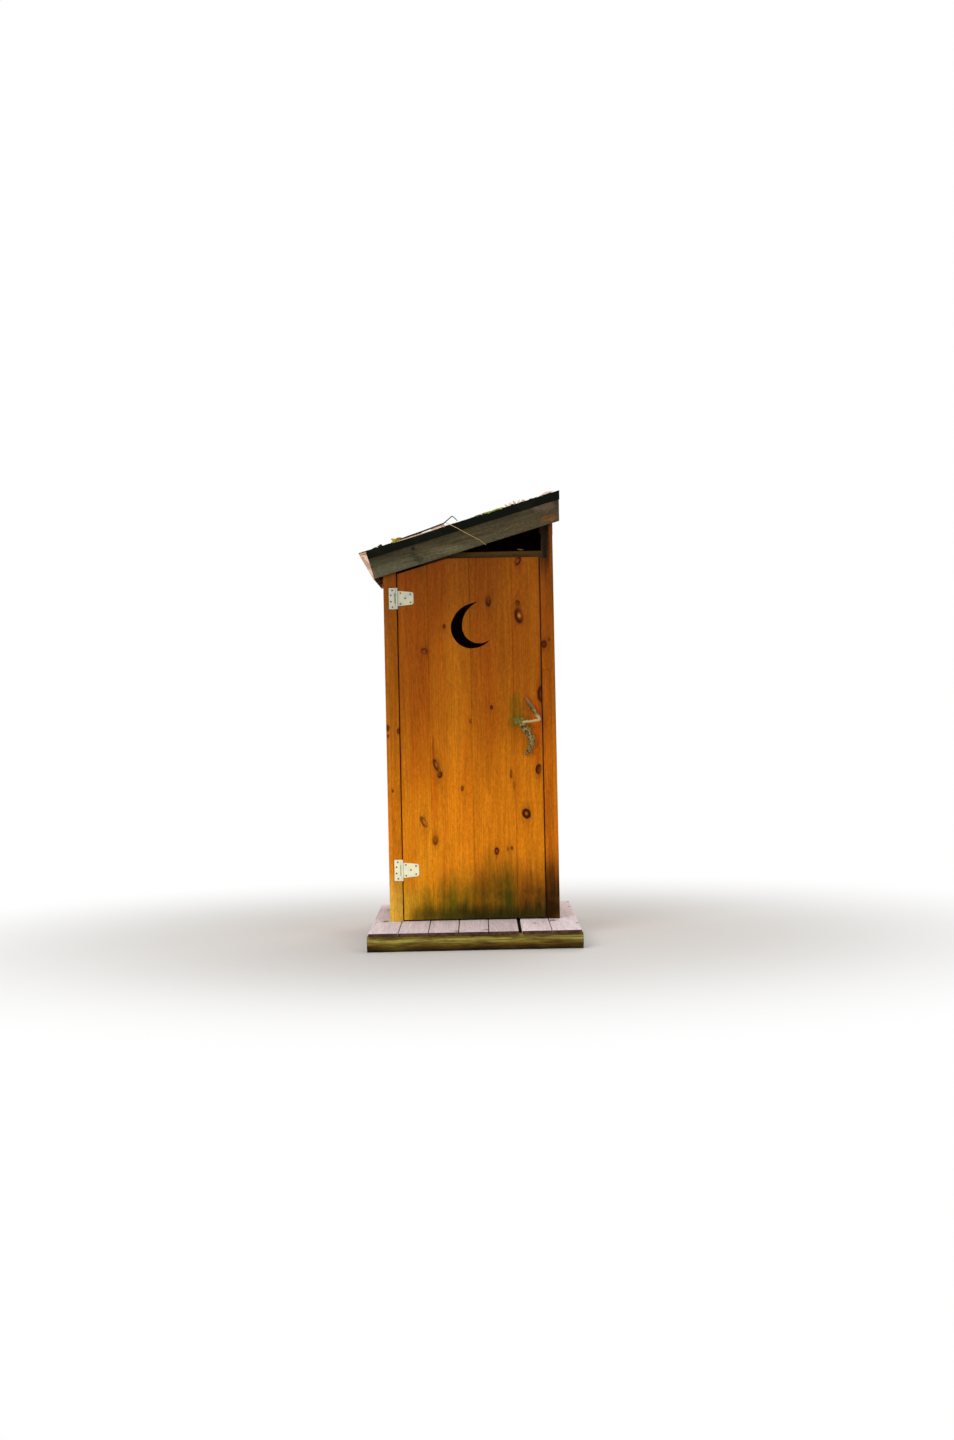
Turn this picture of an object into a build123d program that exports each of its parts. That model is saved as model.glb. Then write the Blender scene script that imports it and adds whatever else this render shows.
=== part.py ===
from build123d import *
import os
from math import atan, cos, radians, sin, sqrt

# A wooden outhouse: a hollow board hut under a single-pitch roof, on a plank deck over three hewn logs.
# +X runs to the right as seen from the door, +Y from the door to the back, +Z up, in millimetres.
# The origin is the middle of the middle log's flat underside.

# Deck and logs
deck_length = 1454.0
deck_board_width = 150.0
deck_board_count = 7
deck_board_gap = 5.0
deck_wide_gap = 19.0
wide_gap_after_board_count = 5
deck_board_thickness = 19.0
deck_edge_round = 3.0
log_end_reach = 8.0
log_height = 80.0
log_hewn_depth = 7.0
log_taper = 4.0
log_inset = 56.0

# Hut frame and walls
hut_width = 914.0
hut_depth = 914.0
wall_thickness = 22.0
wall_board_width = 140.0
groove_width = 6.0
post_width = 38.0
post_depth = 64.0
rail_height = 64.0
trim_width = 48.0
trim_butt_gap = 1.0
right_trim_drop = 6.0
right_trim_joint = 1337.0
header_reveal = 34.0
header_height = 64.0
stop_width = 25.0
stop_thickness = 19.0

# Roof
roof_rise = 3.5
roof_run = 12.0
roof_over_door = 208.0
roofing_thickness = 3.0
roof_deck_thickness = 13.0
rafter_depth = 89.0
rafter_width = 38.0
rake_width = 140.0
rake_thickness = 19.0
eave_clearance = 45.6
eave_fascia_top = 38.0
eave_fascia_bottom = 6.0
high_overhang = 38.0
high_fascia_thickness = 19.0
high_fascia_width = 50.0
rake_flap = 46.0

# Door
door_full_board_widths = (160.0, 225.0, 228.0)
door_thickness = 19.0
door_stop_clearance = 6.0
door_side_gap = 6.0
door_bottom_gap = 8.0
door_top = 1946.0
door_roof_gap = 12.0
door_edge_vee = 2.5
batten_width = 89.0
batten_thickness = 19.0
batten_inset = 36.0
upper_batten_drop = 184.0
lower_batten_z = 276.0
brace_inset = 60.0

# Crescent cut through the door
crescent_x = 25.0
crescent_drop = 360.0
crescent_outer_radius = 125.0
crescent_inner_radius = 109.0
crescent_offset = 47.5
crescent_tilt = 18.0

# Hinges
upper_hinge_drop = 209.0
lower_hinge_z = 276.0
hinge_plate_thickness = 2.5
hinge_pin_radius = 3.0
hinge_pin_play = 0.08
hinge_pin_from_trim = 1.0
hinge_knuckle_radius = 6.0
hinge_knuckle_gap = 0.5
leaf_width = 42.0
leaf_height = 114.0
leaf_corner = 3.0
strap_length = 90.0
strap_height_at_pin = 83.0
strap_height_at_tip = 65.0
strap_corner = 12.0

# Branch handle, from its foot up: each point is in from the door's latch edge, out from the door's
# face and above the deck, with the branch's radius there
handle_points = (
    ((91.0, 5.0, 884.0), 8.0),
    ((60.0, 36.0, 929.0), 14.0),
    ((57.0, 48.0, 964.0), 17.0),
    ((82.0, 50.0, 1013.0), 17.0),
    ((117.0, 48.0, 1058.0), 14.0),
    ((64.0, 50.0, 1066.0), 7.5),
    ((12.0, 46.0, 1072.0), 8.0),
    ((52.0, 30.0, 1132.0), 8.0),
    ((86.0, 4.0, 1201.0), 8.0),
)

# Levels and faces that follow from the sizes
deck_top = log_height + deck_board_thickness
deck_gaps = [deck_board_gap] * (deck_board_count - 1)
deck_gaps[wide_gap_after_board_count - 1] = deck_wide_gap
deck_width = deck_board_width * deck_board_count + sum(deck_gaps)
log_length = deck_width + 2 * log_end_reach
log_diameter = log_height + 2 * log_hewn_depth
rear_y = deck_length / 2
front_y = rear_y - hut_depth
wall_back_y = rear_y - wall_thickness
wall_out_x = hut_width / 2
wall_in_x = wall_out_x - wall_thickness
doorway_x = wall_in_x - trim_width
post_in_x = wall_in_x - post_width
trim_thickness = door_thickness + door_stop_clearance
post_front_y = front_y + trim_thickness
post_rear_y = wall_back_y - post_depth
door_x = doorway_x - door_side_gap
hinge_x = -doorway_x + hinge_pin_from_trim
hinge_y = front_y - hinge_knuckle_radius - hinge_knuckle_gap
header_top = door_top + header_reveal
roof_height_at_centre = door_top + roof_over_door
pitch = atan(roof_rise / roof_run)
deck_under_roof = roofing_thickness
rafter_under_roof = deck_under_roof + roof_deck_thickness
ceiling_under_roof = rafter_under_roof + rafter_depth
rake_foot_under_roof = rafter_under_roof + rake_width
eave_foot_x = wall_out_x + eave_clearance
eave_reach = (eave_foot_x + rake_foot_under_roof * sin(pitch)) / cos(pitch)
high_end_x = wall_out_x + high_overhang
reach = 4000.0

roof_plane = Plane(
    origin=(0, 0, deck_top + roof_height_at_centre),
    x_dir=(cos(pitch), 0, sin(pitch)),
    z_dir=(-sin(pitch), 0, cos(pitch)),
)

nodes = {}


def block(x, y, z):
    """A box between two values on each axis."""
    middle = [(low + high) / 2 for low, high in (x, y, z)]
    return Pos(*middle) * Box(x[1] - x[0], y[1] - y[0], z[1] - z[0])


def above_deck(low, high):
    """Heights over the deck as heights over the ground."""
    return (deck_top + low, deck_top + high)


def on_roof(along, y, depth):
    """A box on the roof's slope: along it from the middle, and from one depth under its face to another."""
    middle = ((along[0] + along[1]) / 2, (y[0] + y[1]) / 2, -(depth[0] + depth[1]) / 2)
    size = (along[1] - along[0], y[1] - y[0], depth[1] - depth[0])
    return roof_plane * (Pos(*middle) * Box(*size))


def under_roof(solid, depth):
    """The part of a solid that lies deeper than this under the roof's face."""
    return solid - on_roof((-reach, reach), (-reach, reach), (-reach, depth))


def plumb_cut(solid, x):
    """The part of a solid on the low side of a plumb line."""
    return solid - block((x, x + reach), (-reach, reach), (-reach, reach))


def plate(profile, front, thickness):
    """A profile drawn as seen from the door, with its front face at this y."""
    return extrude(Plane.XZ.offset(-front) * profile, amount=thickness, dir=(0, 1, 0))


def steps(first, last, pitch_length):
    """Evenly pitched places between two ends, both ends left out."""
    count = int((last - first) / pitch_length)
    places = [first + pitch_length * number for number in range(1, count + 1)]
    return [place for place in places if last - place > groove_width * 2]


def groove(x, y):
    """An upright vee groove centred on a face."""
    side = groove_width / sqrt(2)
    return Pos(x, y, reach / 4) * Rot(0, 0, 45) * Box(side, side, reach)


def make_logs():
    """Three logs across the deck, hewn flat above and below."""
    seats = {
        "front_sleeper_log": -deck_length / 2 + log_inset,
        "middle_sleeper_log": 0.0,
        "rear_sleeper_log": deck_length / 2 - log_inset,
    }
    flats = block((-log_length, log_length), (-log_diameter, log_diameter), (0, log_height))
    for name, y in seats.items():
        trunk = Rot(0, 90, 0) * Cone(
            (log_diameter + log_taper) / 2, (log_diameter - log_taper) / 2, log_length
        )
        nodes[name] = Pos(0, y, 0) * (flats & (Pos(0, 0, log_height / 2) * trunk))


def make_deck():
    """Loose-laid boards from front to back, their top edges worn round, one gap wider than the rest."""
    middle_z = log_height + deck_board_thickness / 2
    left = -deck_width / 2
    boards = []
    for gap in deck_gaps + [0.0]:
        end = Pos(left + deck_board_width / 2, middle_z) * Rectangle(deck_board_width, deck_board_thickness)
        worn = fillet([v for v in end.vertices() if v.Y > middle_z], deck_edge_round)
        boards.append(plate(worn, -deck_length / 2, deck_length))
        left += deck_board_width + gap
    nodes["deck_boards"] = Compound(boards)


def make_frame():
    """Corner posts, sills on the deck, plates under the rafters and the rafters themselves."""
    tall = above_deck(0, roof_height_at_centre + reach)
    for side, sign in (("left", -1), ("right", 1)):
        x = tuple(sorted((sign * wall_in_x, sign * post_in_x)))
        front = block(x, (post_front_y, post_front_y + post_depth), tall)
        rear = block(x, (post_rear_y, wall_back_y), tall)
        nodes[f"front_{side}_post"] = under_roof(front, ceiling_under_roof)
        nodes[f"rear_{side}_post"] = under_roof(rear, ceiling_under_roof)
        run = (post_front_y + post_depth, post_rear_y)
        nodes[f"{side}_sill"] = block(x, run, above_deck(0, rail_height))
        rail = under_roof(block(x, run, tall), ceiling_under_roof)
        nodes[f"{side}_top_plate"] = rail - under_roof(rail, ceiling_under_roof + rail_height)
    back = (wall_back_y - post_width, wall_back_y)
    nodes["rear_sill"] = block((-post_in_x, post_in_x), back, above_deck(0, rail_height))


def make_rafters():
    """Rafters across the hut, from the low eave to the high fascia."""
    middle = (front_y + wall_back_y) / 2
    starts = {
        "front_rafter": front_y,
        "middle_rafter": middle - rafter_width / 2,
        "rear_rafter": wall_back_y - rafter_width,
    }
    for name, y in starts.items():
        rafter = on_roof(
            (-eave_reach, reach / 2), (y, y + rafter_width), (rafter_under_roof, ceiling_under_roof)
        )
        nodes[name] = plumb_cut(rafter, high_end_x - high_fascia_thickness)


def make_walls():
    """Board walls with a vee at each joint, and the short boards between the rafters."""
    tall = above_deck(0, roof_height_at_centre + reach)
    middle = (front_y + wall_back_y) / 2
    bays = (
        (front_y + rafter_width, middle - rafter_width / 2),
        (middle + rafter_width / 2, wall_back_y - rafter_width),
    )
    for side, sign in (("left", -1), ("right", 1)):
        x = tuple(sorted((sign * wall_in_x, sign * wall_out_x)))
        wall = under_roof(block(x, (front_y, wall_back_y), tall), ceiling_under_roof)
        for y in steps(front_y, wall_back_y, wall_board_width):
            wall -= groove(sign * wall_out_x, y)
        nodes[f"{side}_wall"] = wall
        boards = []
        for bay in bays:
            tops = under_roof(block(x, bay, tall), rafter_under_roof)
            boards.append(tops - under_roof(tops, ceiling_under_roof))
        nodes[f"{side}_frieze_boards"] = Compound(boards)
    wall = block((-wall_out_x, wall_out_x), (wall_back_y, rear_y), tall)
    wall = under_roof(wall, rafter_under_roof)
    for x in steps(-wall_out_x, wall_out_x, wall_board_width):
        wall -= groove(x, rear_y)
    nodes["rear_wall"] = wall


def make_doorway():
    """Trim boards each side of the door, the header over it and the stop it shuts against."""
    y = (front_y, post_front_y)
    left = (-wall_in_x, -doorway_x)
    right = (doorway_x, wall_in_x)
    tall = above_deck(0, roof_height_at_centre + reach)
    nodes["left_trim"] = under_roof(block(left, y, tall), ceiling_under_roof)
    nodes["right_trim_lower"] = block(right, y, above_deck(0, right_trim_joint))
    nodes["right_trim_upper"] = block(
        right, y, above_deck(right_trim_joint + trim_butt_gap, door_top - right_trim_drop)
    )
    header_foot = header_top - header_height
    header = block(
        (-post_in_x, post_in_x),
        (post_front_y, post_front_y + post_width),
        above_deck(header_foot, header_top),
    )
    nodes["door_header"] = under_roof(header, ceiling_under_roof)
    nodes["door_stop"] = block(
        (post_in_x - stop_width, post_in_x),
        (post_front_y, post_front_y + stop_thickness),
        above_deck(0, header_foot),
    )


def make_roof():
    """Roof boards, rakes, fascias and the roofing with its turned-down edges."""
    front = front_y - rake_thickness
    rear = rear_y + rake_thickness
    rake_depths = (rafter_under_roof, rake_foot_under_roof)
    for name, y in (("front_rake_board", (front, front_y)), ("rear_rake_board", (rear_y, rear))):
        rake = on_roof((-eave_reach, reach / 2), y, rake_depths)
        nodes[name] = plumb_cut(rake, high_end_x)

    low_end = -eave_reach - eave_fascia_top
    wedge = Polygon(
        (-eave_reach, -rafter_under_roof),
        (-eave_reach, -rake_foot_under_roof),
        (-eave_reach - eave_fascia_bottom, -rake_foot_under_roof),
        (low_end, -rafter_under_roof),
        align=None,
    )
    nodes["eave_fascia"] = roof_plane * plate(wedge, front, rear - front)

    fascia = block(
        (high_end_x - high_fascia_thickness, high_end_x), (front_y, rear_y), (0, reach)
    )
    fascia = under_roof(fascia, rafter_under_roof)
    nodes["high_fascia"] = fascia - under_roof(fascia, rafter_under_roof + high_fascia_width)

    sheet = on_roof((low_end, reach / 2), (front, rear), (deck_under_roof, rafter_under_roof))
    nodes["roof_deck"] = plumb_cut(sheet, high_end_x)

    skin = roofing_thickness
    cover = on_roof((low_end - skin, reach / 2), (front - skin, rear + skin), (0, rake_flap))
    hollow = on_roof((-reach / 2, reach / 2), (front, rear), (skin, rake_flap))
    eave = on_roof((-reach / 2, -eave_reach), (front - reach, rear + reach), (skin, rake_flap * 2))
    nodes["roofing"] = plumb_cut(cover, high_end_x + skin) - plumb_cut(hollow, high_end_x) - eave


def crescent():
    """The crescent's outline: one circle less a smaller one beside it."""
    turn = radians(crescent_tilt)
    z = deck_top + door_top - crescent_drop
    outer = Pos(crescent_x, z) * Circle(crescent_outer_radius)
    shift = (crescent_offset * cos(turn), crescent_offset * sin(turn))
    inner = Pos(crescent_x + shift[0], z + shift[1]) * Circle(crescent_inner_radius)
    return outer - inner


def make_door():
    """Upright boards with eased joints, the last ripped to fit, and two battens and a brace inside."""
    cut = plate(crescent(), front_y - door_thickness, door_thickness * 3)
    top_depth = rake_foot_under_roof + door_roof_gap * cos(pitch)
    vee = door_edge_vee
    last_width = door_x * 2 - sum(door_full_board_widths)
    left = -door_x
    for number, width in enumerate(door_full_board_widths + (last_width,), start=1):
        right = left + width
        section = Polygon(
            (left, front_y + door_thickness),
            (left, front_y + vee),
            (left + vee, front_y),
            (right - vee, front_y),
            (right, front_y + vee),
            (right, front_y + door_thickness),
            align=None,
        )
        height = door_top - door_bottom_gap
        board = Pos(0, 0, deck_top + door_bottom_gap) * extrude(section, height, dir=(0, 0, 1))
        nodes[f"door_board_{number}"] = under_roof(board, top_depth) - cut
        left = right

    inside = (front_y + door_thickness, front_y + door_thickness + batten_thickness)
    span = (-door_x + batten_inset, door_x - batten_inset)
    half = batten_width / 2
    upper_batten_z = door_top - upper_batten_drop
    for name, z in (("upper_batten", upper_batten_z), ("lower_batten", lower_batten_z)):
        nodes[name] = block(span, inside, above_deck(z - half, z + half))

    foot = Vector(span[0] + brace_inset, deck_top + lower_batten_z)
    head = Vector(span[1] - brace_inset, deck_top + upper_batten_z)
    run = head - foot
    bar = Plane(origin=(foot.X, foot.Y, 0), x_dir=(run.X, run.Y, 0)) * Rectangle(
        run.length * 2, batten_width
    )
    between = Pos(0, (foot.Y + head.Y) / 2) * Rectangle(reach, run.Y - batten_width)
    nodes["diagonal_brace"] = plate(bar & between, inside[0], batten_thickness)


def hinge_plate(outline, corners, radius):
    """A flat plate with rounded corners, lying on the door's face."""
    rounded = fillet([v for v in outline.vertices() if corners(v)], radius)
    return plate(rounded, front_y - hinge_plate_thickness, hinge_plate_thickness)


def knuckle(radius, low, high):
    """A round length of the hinge's barrel."""
    return Pos(hinge_x, hinge_y, (low + high) / 2) * Cylinder(radius, high - low)


def make_hinge(name, height):
    """A surface hinge: a leaf on the trim with the pin in it, and a tapered strap on the door."""
    z = deck_top + height
    top = z + leaf_height / 2
    foot = z - leaf_height / 2
    strap_top = z + strap_height_at_pin / 2
    strap_foot = z - strap_height_at_pin / 2
    clear = hinge_knuckle_radius + hinge_knuckle_gap * 2

    outline = Pos(hinge_x - leaf_width / 2, z) * Rectangle(leaf_width, leaf_height)
    leaf = hinge_plate(outline, lambda v: v.X < hinge_x - leaf_width / 2, leaf_corner)
    leaf -= block(
        (hinge_x - clear, hinge_x + clear),
        (front_y - reach, front_y + reach),
        (strap_foot - hinge_knuckle_gap, strap_top + hinge_knuckle_gap),
    )
    leaf += knuckle(hinge_knuckle_radius, strap_top + hinge_knuckle_gap, top)
    leaf += knuckle(hinge_knuckle_radius, foot, strap_foot - hinge_knuckle_gap)
    leaf += knuckle(hinge_pin_radius, foot, top)
    nodes[f"{name}_hinge_leaf"] = leaf

    tip = hinge_x + strap_length
    outline = Polygon(
        (hinge_x, strap_foot),
        (tip, z - strap_height_at_tip / 2),
        (tip, z + strap_height_at_tip / 2),
        (hinge_x, strap_top),
        align=None,
    )
    strap = hinge_plate(outline, lambda v: v.X > hinge_x + strap_length / 2, strap_corner)
    strap += knuckle(hinge_knuckle_radius, strap_foot, strap_top)
    strap -= knuckle(hinge_pin_radius + hinge_pin_play, foot, top)
    nodes[f"{name}_hinge_strap"] = strap


def make_handle():
    """A crooked branch, seated on the door at both ends and standing off it between them."""
    spots = [Vector(door_x - inset, -out, z) for (inset, out, z), radius in handle_points]
    runs = [(end - start).normalized() for start, end in zip(spots, spots[1:])]
    sections = []
    for number, (spot, (place, radius)) in enumerate(zip(spots, handle_points)):
        before = runs[max(number - 1, 0)]
        after = runs[min(number, len(runs) - 1)]
        along = (before + after).normalized()
        mitre = along.dot(after)
        across = Plane(origin=spot, x_dir=along.cross(Vector(0, 1, 0)), z_dir=along)
        sections.append(across * Ellipse(radius / mitre, radius))
    branch = loft(sections, ruled=True)
    outside = block((-reach, reach), (-reach, 0), (0, reach))
    nodes["branch_handle"] = Pos(0, front_y, deck_top) * (branch & outside)


make_logs()
make_deck()
make_frame()
make_rafters()
make_walls()
make_doorway()
make_roof()
make_door()
make_hinge("upper", door_top - upper_hinge_drop)
make_hinge("lower", lower_hinge_z)
make_handle()

os.makedirs("parts", exist_ok=True)
for name, solid in nodes.items():
    export_step(solid, f"parts/{name}.step")
print(f"{len(nodes)} nodes written")
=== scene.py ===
import logging
import math
import random
from collections.abc import Callable, Iterator, Sequence
from contextlib import contextmanager
from dataclasses import dataclass
from enum import Enum
from typing import Any

import bpy
from mathutils import Matrix, Vector


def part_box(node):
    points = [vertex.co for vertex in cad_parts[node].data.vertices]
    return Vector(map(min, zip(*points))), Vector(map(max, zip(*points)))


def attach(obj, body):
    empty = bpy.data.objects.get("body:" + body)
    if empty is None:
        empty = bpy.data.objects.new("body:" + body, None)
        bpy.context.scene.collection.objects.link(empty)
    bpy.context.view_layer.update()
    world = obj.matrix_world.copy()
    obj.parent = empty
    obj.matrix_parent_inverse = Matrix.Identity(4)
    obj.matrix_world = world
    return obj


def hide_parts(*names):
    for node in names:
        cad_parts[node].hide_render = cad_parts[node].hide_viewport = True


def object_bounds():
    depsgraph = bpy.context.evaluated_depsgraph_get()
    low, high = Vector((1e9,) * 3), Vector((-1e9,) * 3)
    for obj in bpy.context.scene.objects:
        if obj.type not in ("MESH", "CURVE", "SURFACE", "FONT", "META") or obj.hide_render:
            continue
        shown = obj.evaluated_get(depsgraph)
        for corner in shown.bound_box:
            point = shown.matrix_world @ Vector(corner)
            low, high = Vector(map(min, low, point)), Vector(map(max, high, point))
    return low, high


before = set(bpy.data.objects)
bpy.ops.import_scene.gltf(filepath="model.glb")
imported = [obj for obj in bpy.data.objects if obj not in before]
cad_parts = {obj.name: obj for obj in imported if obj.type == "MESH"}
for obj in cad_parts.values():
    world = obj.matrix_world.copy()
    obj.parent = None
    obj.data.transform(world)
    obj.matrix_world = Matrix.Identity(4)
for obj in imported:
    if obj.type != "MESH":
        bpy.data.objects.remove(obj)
CAD_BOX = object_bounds()

# The finish of a wooden outhouse: stained board walls and door, weathered roof edges, black roofing
# with litter on it, and a foot-worn plank deck on three hewn logs. Lengths are in metres.

Colour = tuple[float, float, float, float]
EdgeTest = Callable[[Vector, Vector], bool]


def paint(red: int, green: int, blue: int) -> Colour:
    """Turns a colour as a screen shows it, from 0 to 255, into the light that it reflects."""
    shares = [value / 255 for value in (red, green, blue)]
    light = [((share + 0.055) / 1.055) ** 2.4 if share > 0.04045 else share / 12.92 for share in shares]
    return (light[0], light[1], light[2], 1.0)


@dataclass(frozen=True)
class RoofSlope:
    """The plane of the roof's upper face, which falls towards the low side.

    Attributes:
        pitch: The angle of the slope.
        middle: The height of the face over the middle of the hut.
    """

    pitch: float
    middle: float

    @property
    def along(self) -> Vector:
        """The way up the slope."""
        return Vector((math.cos(self.pitch), 0, math.sin(self.pitch)))

    @property
    def normal(self) -> Vector:
        """The way out of the slope."""
        return Vector((-math.sin(self.pitch), 0, math.cos(self.pitch)))

    def point(self, along: float, y: float, depth: float = 0.0) -> Vector:
        """A place given along the slope, across the hut and under the face."""
        return Vector((0, y, self.middle)) + self.along * along - self.normal * depth

    def height(self, x: float) -> float:
        """The height of the face over a place in the plan."""
        return self.middle + x * math.tan(self.pitch)


ROOF_PITCH = math.atan(3.5 / 12)
ROOFING_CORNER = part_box("roofing")[1]
ROOF = RoofSlope(ROOF_PITCH, ROOFING_CORNER.z - ROOFING_CORNER.x * math.tan(ROOF_PITCH))
ROOFING_THICKNESS = 0.003
RAFTER_TOP_DEPTH = 0.016
WALL_TOP_DEPTH = 0.105
DECK_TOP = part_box("deck_boards")[1].z
DOOR_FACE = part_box("door_board_1")[0].y
BRACE_LEAN = math.atan2(0.570, 1.486)
PIECE_NUMBER = "piece_number"
UP = Vector((0, 0, 1))
WHITE = (1.0, 1.0, 1.0, 1.0)
MERGE_DISTANCE = 0.00002
TOLERANCE = 1e-5


class Value:
    """Something that varies over a surface: one output of a node, with Python's arithmetic."""

    def __init__(self, graph: "Graph", socket: bpy.types.NodeSocket) -> None:
        """Keeps the socket and the graph that it belongs to."""
        self.graph = graph
        self.socket = socket

    def __add__(self, other: "Value | float") -> "Value":
        """Adds."""
        return self.graph.math("ADD", self, other)

    __radd__ = __add__

    def __sub__(self, other: "Value | float") -> "Value":
        """Takes away."""
        return self.graph.math("SUBTRACT", self, other)

    def __rsub__(self, other: float) -> "Value":
        """Is taken away from a number."""
        return self.graph.math("SUBTRACT", other, self)

    def __mul__(self, other: "Value | float") -> "Value":
        """Multiplies."""
        return self.graph.math("MULTIPLY", self, other)

    __rmul__ = __mul__

    def __truediv__(self, other: "Value | float") -> "Value":
        """Divides."""
        return self.graph.math("DIVIDE", self, other)

    def __abs__(self) -> "Value":
        """Drops the sign."""
        return self.graph.math("ABSOLUTE", self)

    def rise(self, low: float, high: float) -> "Value":
        """Runs smoothly from 0 at one value to 1 at a higher one."""
        settings = {"interpolation_type": "SMOOTHSTEP"}
        return self.graph.value("MapRange", settings, {0: self, 1: low, 2: high})

    def fall(self, low: float, high: float) -> "Value":
        """Runs smoothly from 1 at one value to 0 at a higher one."""
        return 1.0 - self.rise(low, high)

    def bell(self) -> "Value":
        """Is 1 at nought and dies away on both sides."""
        return self.graph.math("EXPONENT", self * self * -1.0)


class Graph:
    """The nodes of one material or of the world."""

    def __init__(self, tree: bpy.types.NodeTree) -> None:
        """Starts with an empty tree."""
        self.tree = tree
        tree.nodes.clear()

    def node(
        self,
        kind: str,
        settings: dict[str, Any] | None = None,
        sockets: dict[str | int, Any] | None = None,
    ) -> bpy.types.Node:
        """Adds any node.

        Args:
            kind: The node's type, without its ShaderNode prefix.
            settings: Its properties, and a ramp's stops under "stops".
            sockets: Numbers, colours or values for its inputs, by name or by place.

        Returns:
            The new node.
        """
        made = self.tree.nodes.new(f"ShaderNode{kind}")
        for name, setting in (settings or {}).items():
            if name == "stops":
                self.set_stops(made.color_ramp.elements, setting)
            else:
                setattr(made, name, setting)
        for place, given in (sockets or {}).items():
            if isinstance(given, Value):
                self.tree.links.new(given.socket, made.inputs[place])
            else:
                made.inputs[place].default_value = given
        return made

    @staticmethod
    def set_stops(elements: bpy.types.ColorRampElements, stops: Sequence[tuple[float, Colour]]) -> None:
        """Puts a ramp's stops in place, from the lowest to the highest."""
        for element, (place, colour) in ((elements[0], stops[0]), (elements[-1], stops[-1])):
            element.position = place
            element.color = colour
        for place, colour in stops[1:-1]:
            elements.new(place).color = colour

    def value(
        self,
        kind: str,
        settings: dict[str, Any] | None = None,
        sockets: dict[str | int, Any] | None = None,
        output: int | str = 0,
    ) -> Value:
        """Adds any node and returns one of its outputs."""
        return Value(self, self.node(kind, settings, sockets).outputs[output])

    def math(self, operation: str, *terms: "Value | float") -> Value:
        """Adds one step of arithmetic."""
        return self.value("Math", {"operation": operation}, dict(enumerate(terms)))

    def vector(self, x: Value | float, y: Value | float, z: Value | float) -> Value:
        """Makes a place of three numbers."""
        return self.value("CombineXYZ", None, {0: x, 1: y, 2: z})

    def noise(self, place: Value, detail: float = 2.0, roughness: float = 0.5, scale: float = 1.0) -> Value:
        """Smooth random values from 0 to 1."""
        sockets = {"Vector": place, "Scale": scale, "Detail": detail, "Roughness": roughness}
        return self.value("TexNoise", None, sockets)

    def mix(self, share: Value | float, first: Any, second: Any, blend: str = "MIX") -> Value:
        """Mixes two colours."""
        settings = {"data_type": "RGBA", "blend_type": blend}
        return self.value("Mix", settings, {0: share, 6: first, 7: second}, 2)

    def shade(self, colour: Any, tone: Value) -> Value:
        """Darkens or lightens a colour by a factor."""
        return self.mix(1.0, colour, tone, "MULTIPLY")

    def place(self) -> Value:
        """The place in the object's own frame."""
        return self.value("TexCoord", None, None, "Object")

    def axes(self) -> list[Value]:
        """The place's three coordinates."""
        return [Value(self, part) for part in self.node("SeparateXYZ", None, {0: self.place()}).outputs]

    def dot(self, first: Value, way: Sequence[float]) -> Value:
        """How far a place or a normal reaches along a direction."""
        return self.value("VectorMath", {"operation": "DOT_PRODUCT"}, {0: first, 1: way}, "Value")

    def facing(self, way: Sequence[float]) -> Value:
        """How far a face looks one way, from -1 to 1."""
        return self.dot(self.value("TexCoord", None, None, "Normal"), way)

    def length(self, x: Value, y: Value) -> Value:
        """The length of a line across x and y."""
        return self.math("SQRT", x * x + y * y)

    def piece_number(self) -> Value:
        """The number from 0 to 1 that tells one board, leaf or needle of a mesh from the next."""
        return self.value("Attribute", {"attribute_name": PIECE_NUMBER}, None, "Fac")

    def finish(
        self,
        colour: Any,
        roughness: Value | float,
        relief: Value | None = None,
        height: float = 0.0,
        gloss: dict[str, float] | None = None,
    ) -> None:
        """Ends a material in one plain shader.

        Args:
            colour: The colour.
            roughness: How matt it is.
            relief: The shape of its fine relief, from 0 to 1.
            height: How high the relief stands.
            gloss: Other inputs of the shader, each the same all over.
        """
        sockets = {"Base Color": colour, "Roughness": roughness, **(gloss or {})}
        if relief is not None:
            sockets["Normal"] = self.value("Bump", None, {"Distance": height, "Height": relief})
        shader = self.value("BsdfPrincipled", None, sockets)
        self.node("OutputMaterial", None, {0: shader})


class Grain(Enum):
    """Which way wood fibres run: the directions across, through and along a board."""

    UP_FRONT = ((1, 0, 0), (0, 1, 0), (0, 0, 1))
    UP_SIDE = ((0, 1, 0), (1, 0, 0), (0, 0, 1))
    BACK = ((1, 0, 0), (0, 0, 1), (0, 1, 0))
    ACROSS = ((0, 0, 1), (0, 1, 0), (1, 0, 0))
    SLOPE = (tuple(ROOF.normal), (0, 1, 0), tuple(ROOF.along))
    BRACE = (
        (math.cos(BRACE_LEAN), 0, -math.sin(BRACE_LEAN)),
        (0, 1, 0),
        (math.sin(BRACE_LEAN), 0, math.cos(BRACE_LEAN)),
    )

    def axes(self, graph: Graph) -> list[Value]:
        """The places across, through and along the board."""
        place = graph.place()
        return [graph.dot(place, way) for way in self.value]


@dataclass(frozen=True)
class Knot:
    """A knot in the door or a trim board.

    Attributes:
        x: Its place to the right of the door's middle.
        height: Its height over the deck.
        half_width: Half its width.
        half_height: Half its height.
        depth: How dark it is, from 0 to 1.
        heart: How pale its middle is, from 0 to 1.
        dark_side: Where its rim is darkest, in degrees anticlockwise from the right, or all round.
        turn: How far its top leans to the left, in degrees.
    """

    x: float
    height: float
    half_width: float
    half_height: float
    depth: float = 0.8
    heart: float = 0.0
    dark_side: float | None = None
    turn: float = 0.0


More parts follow.
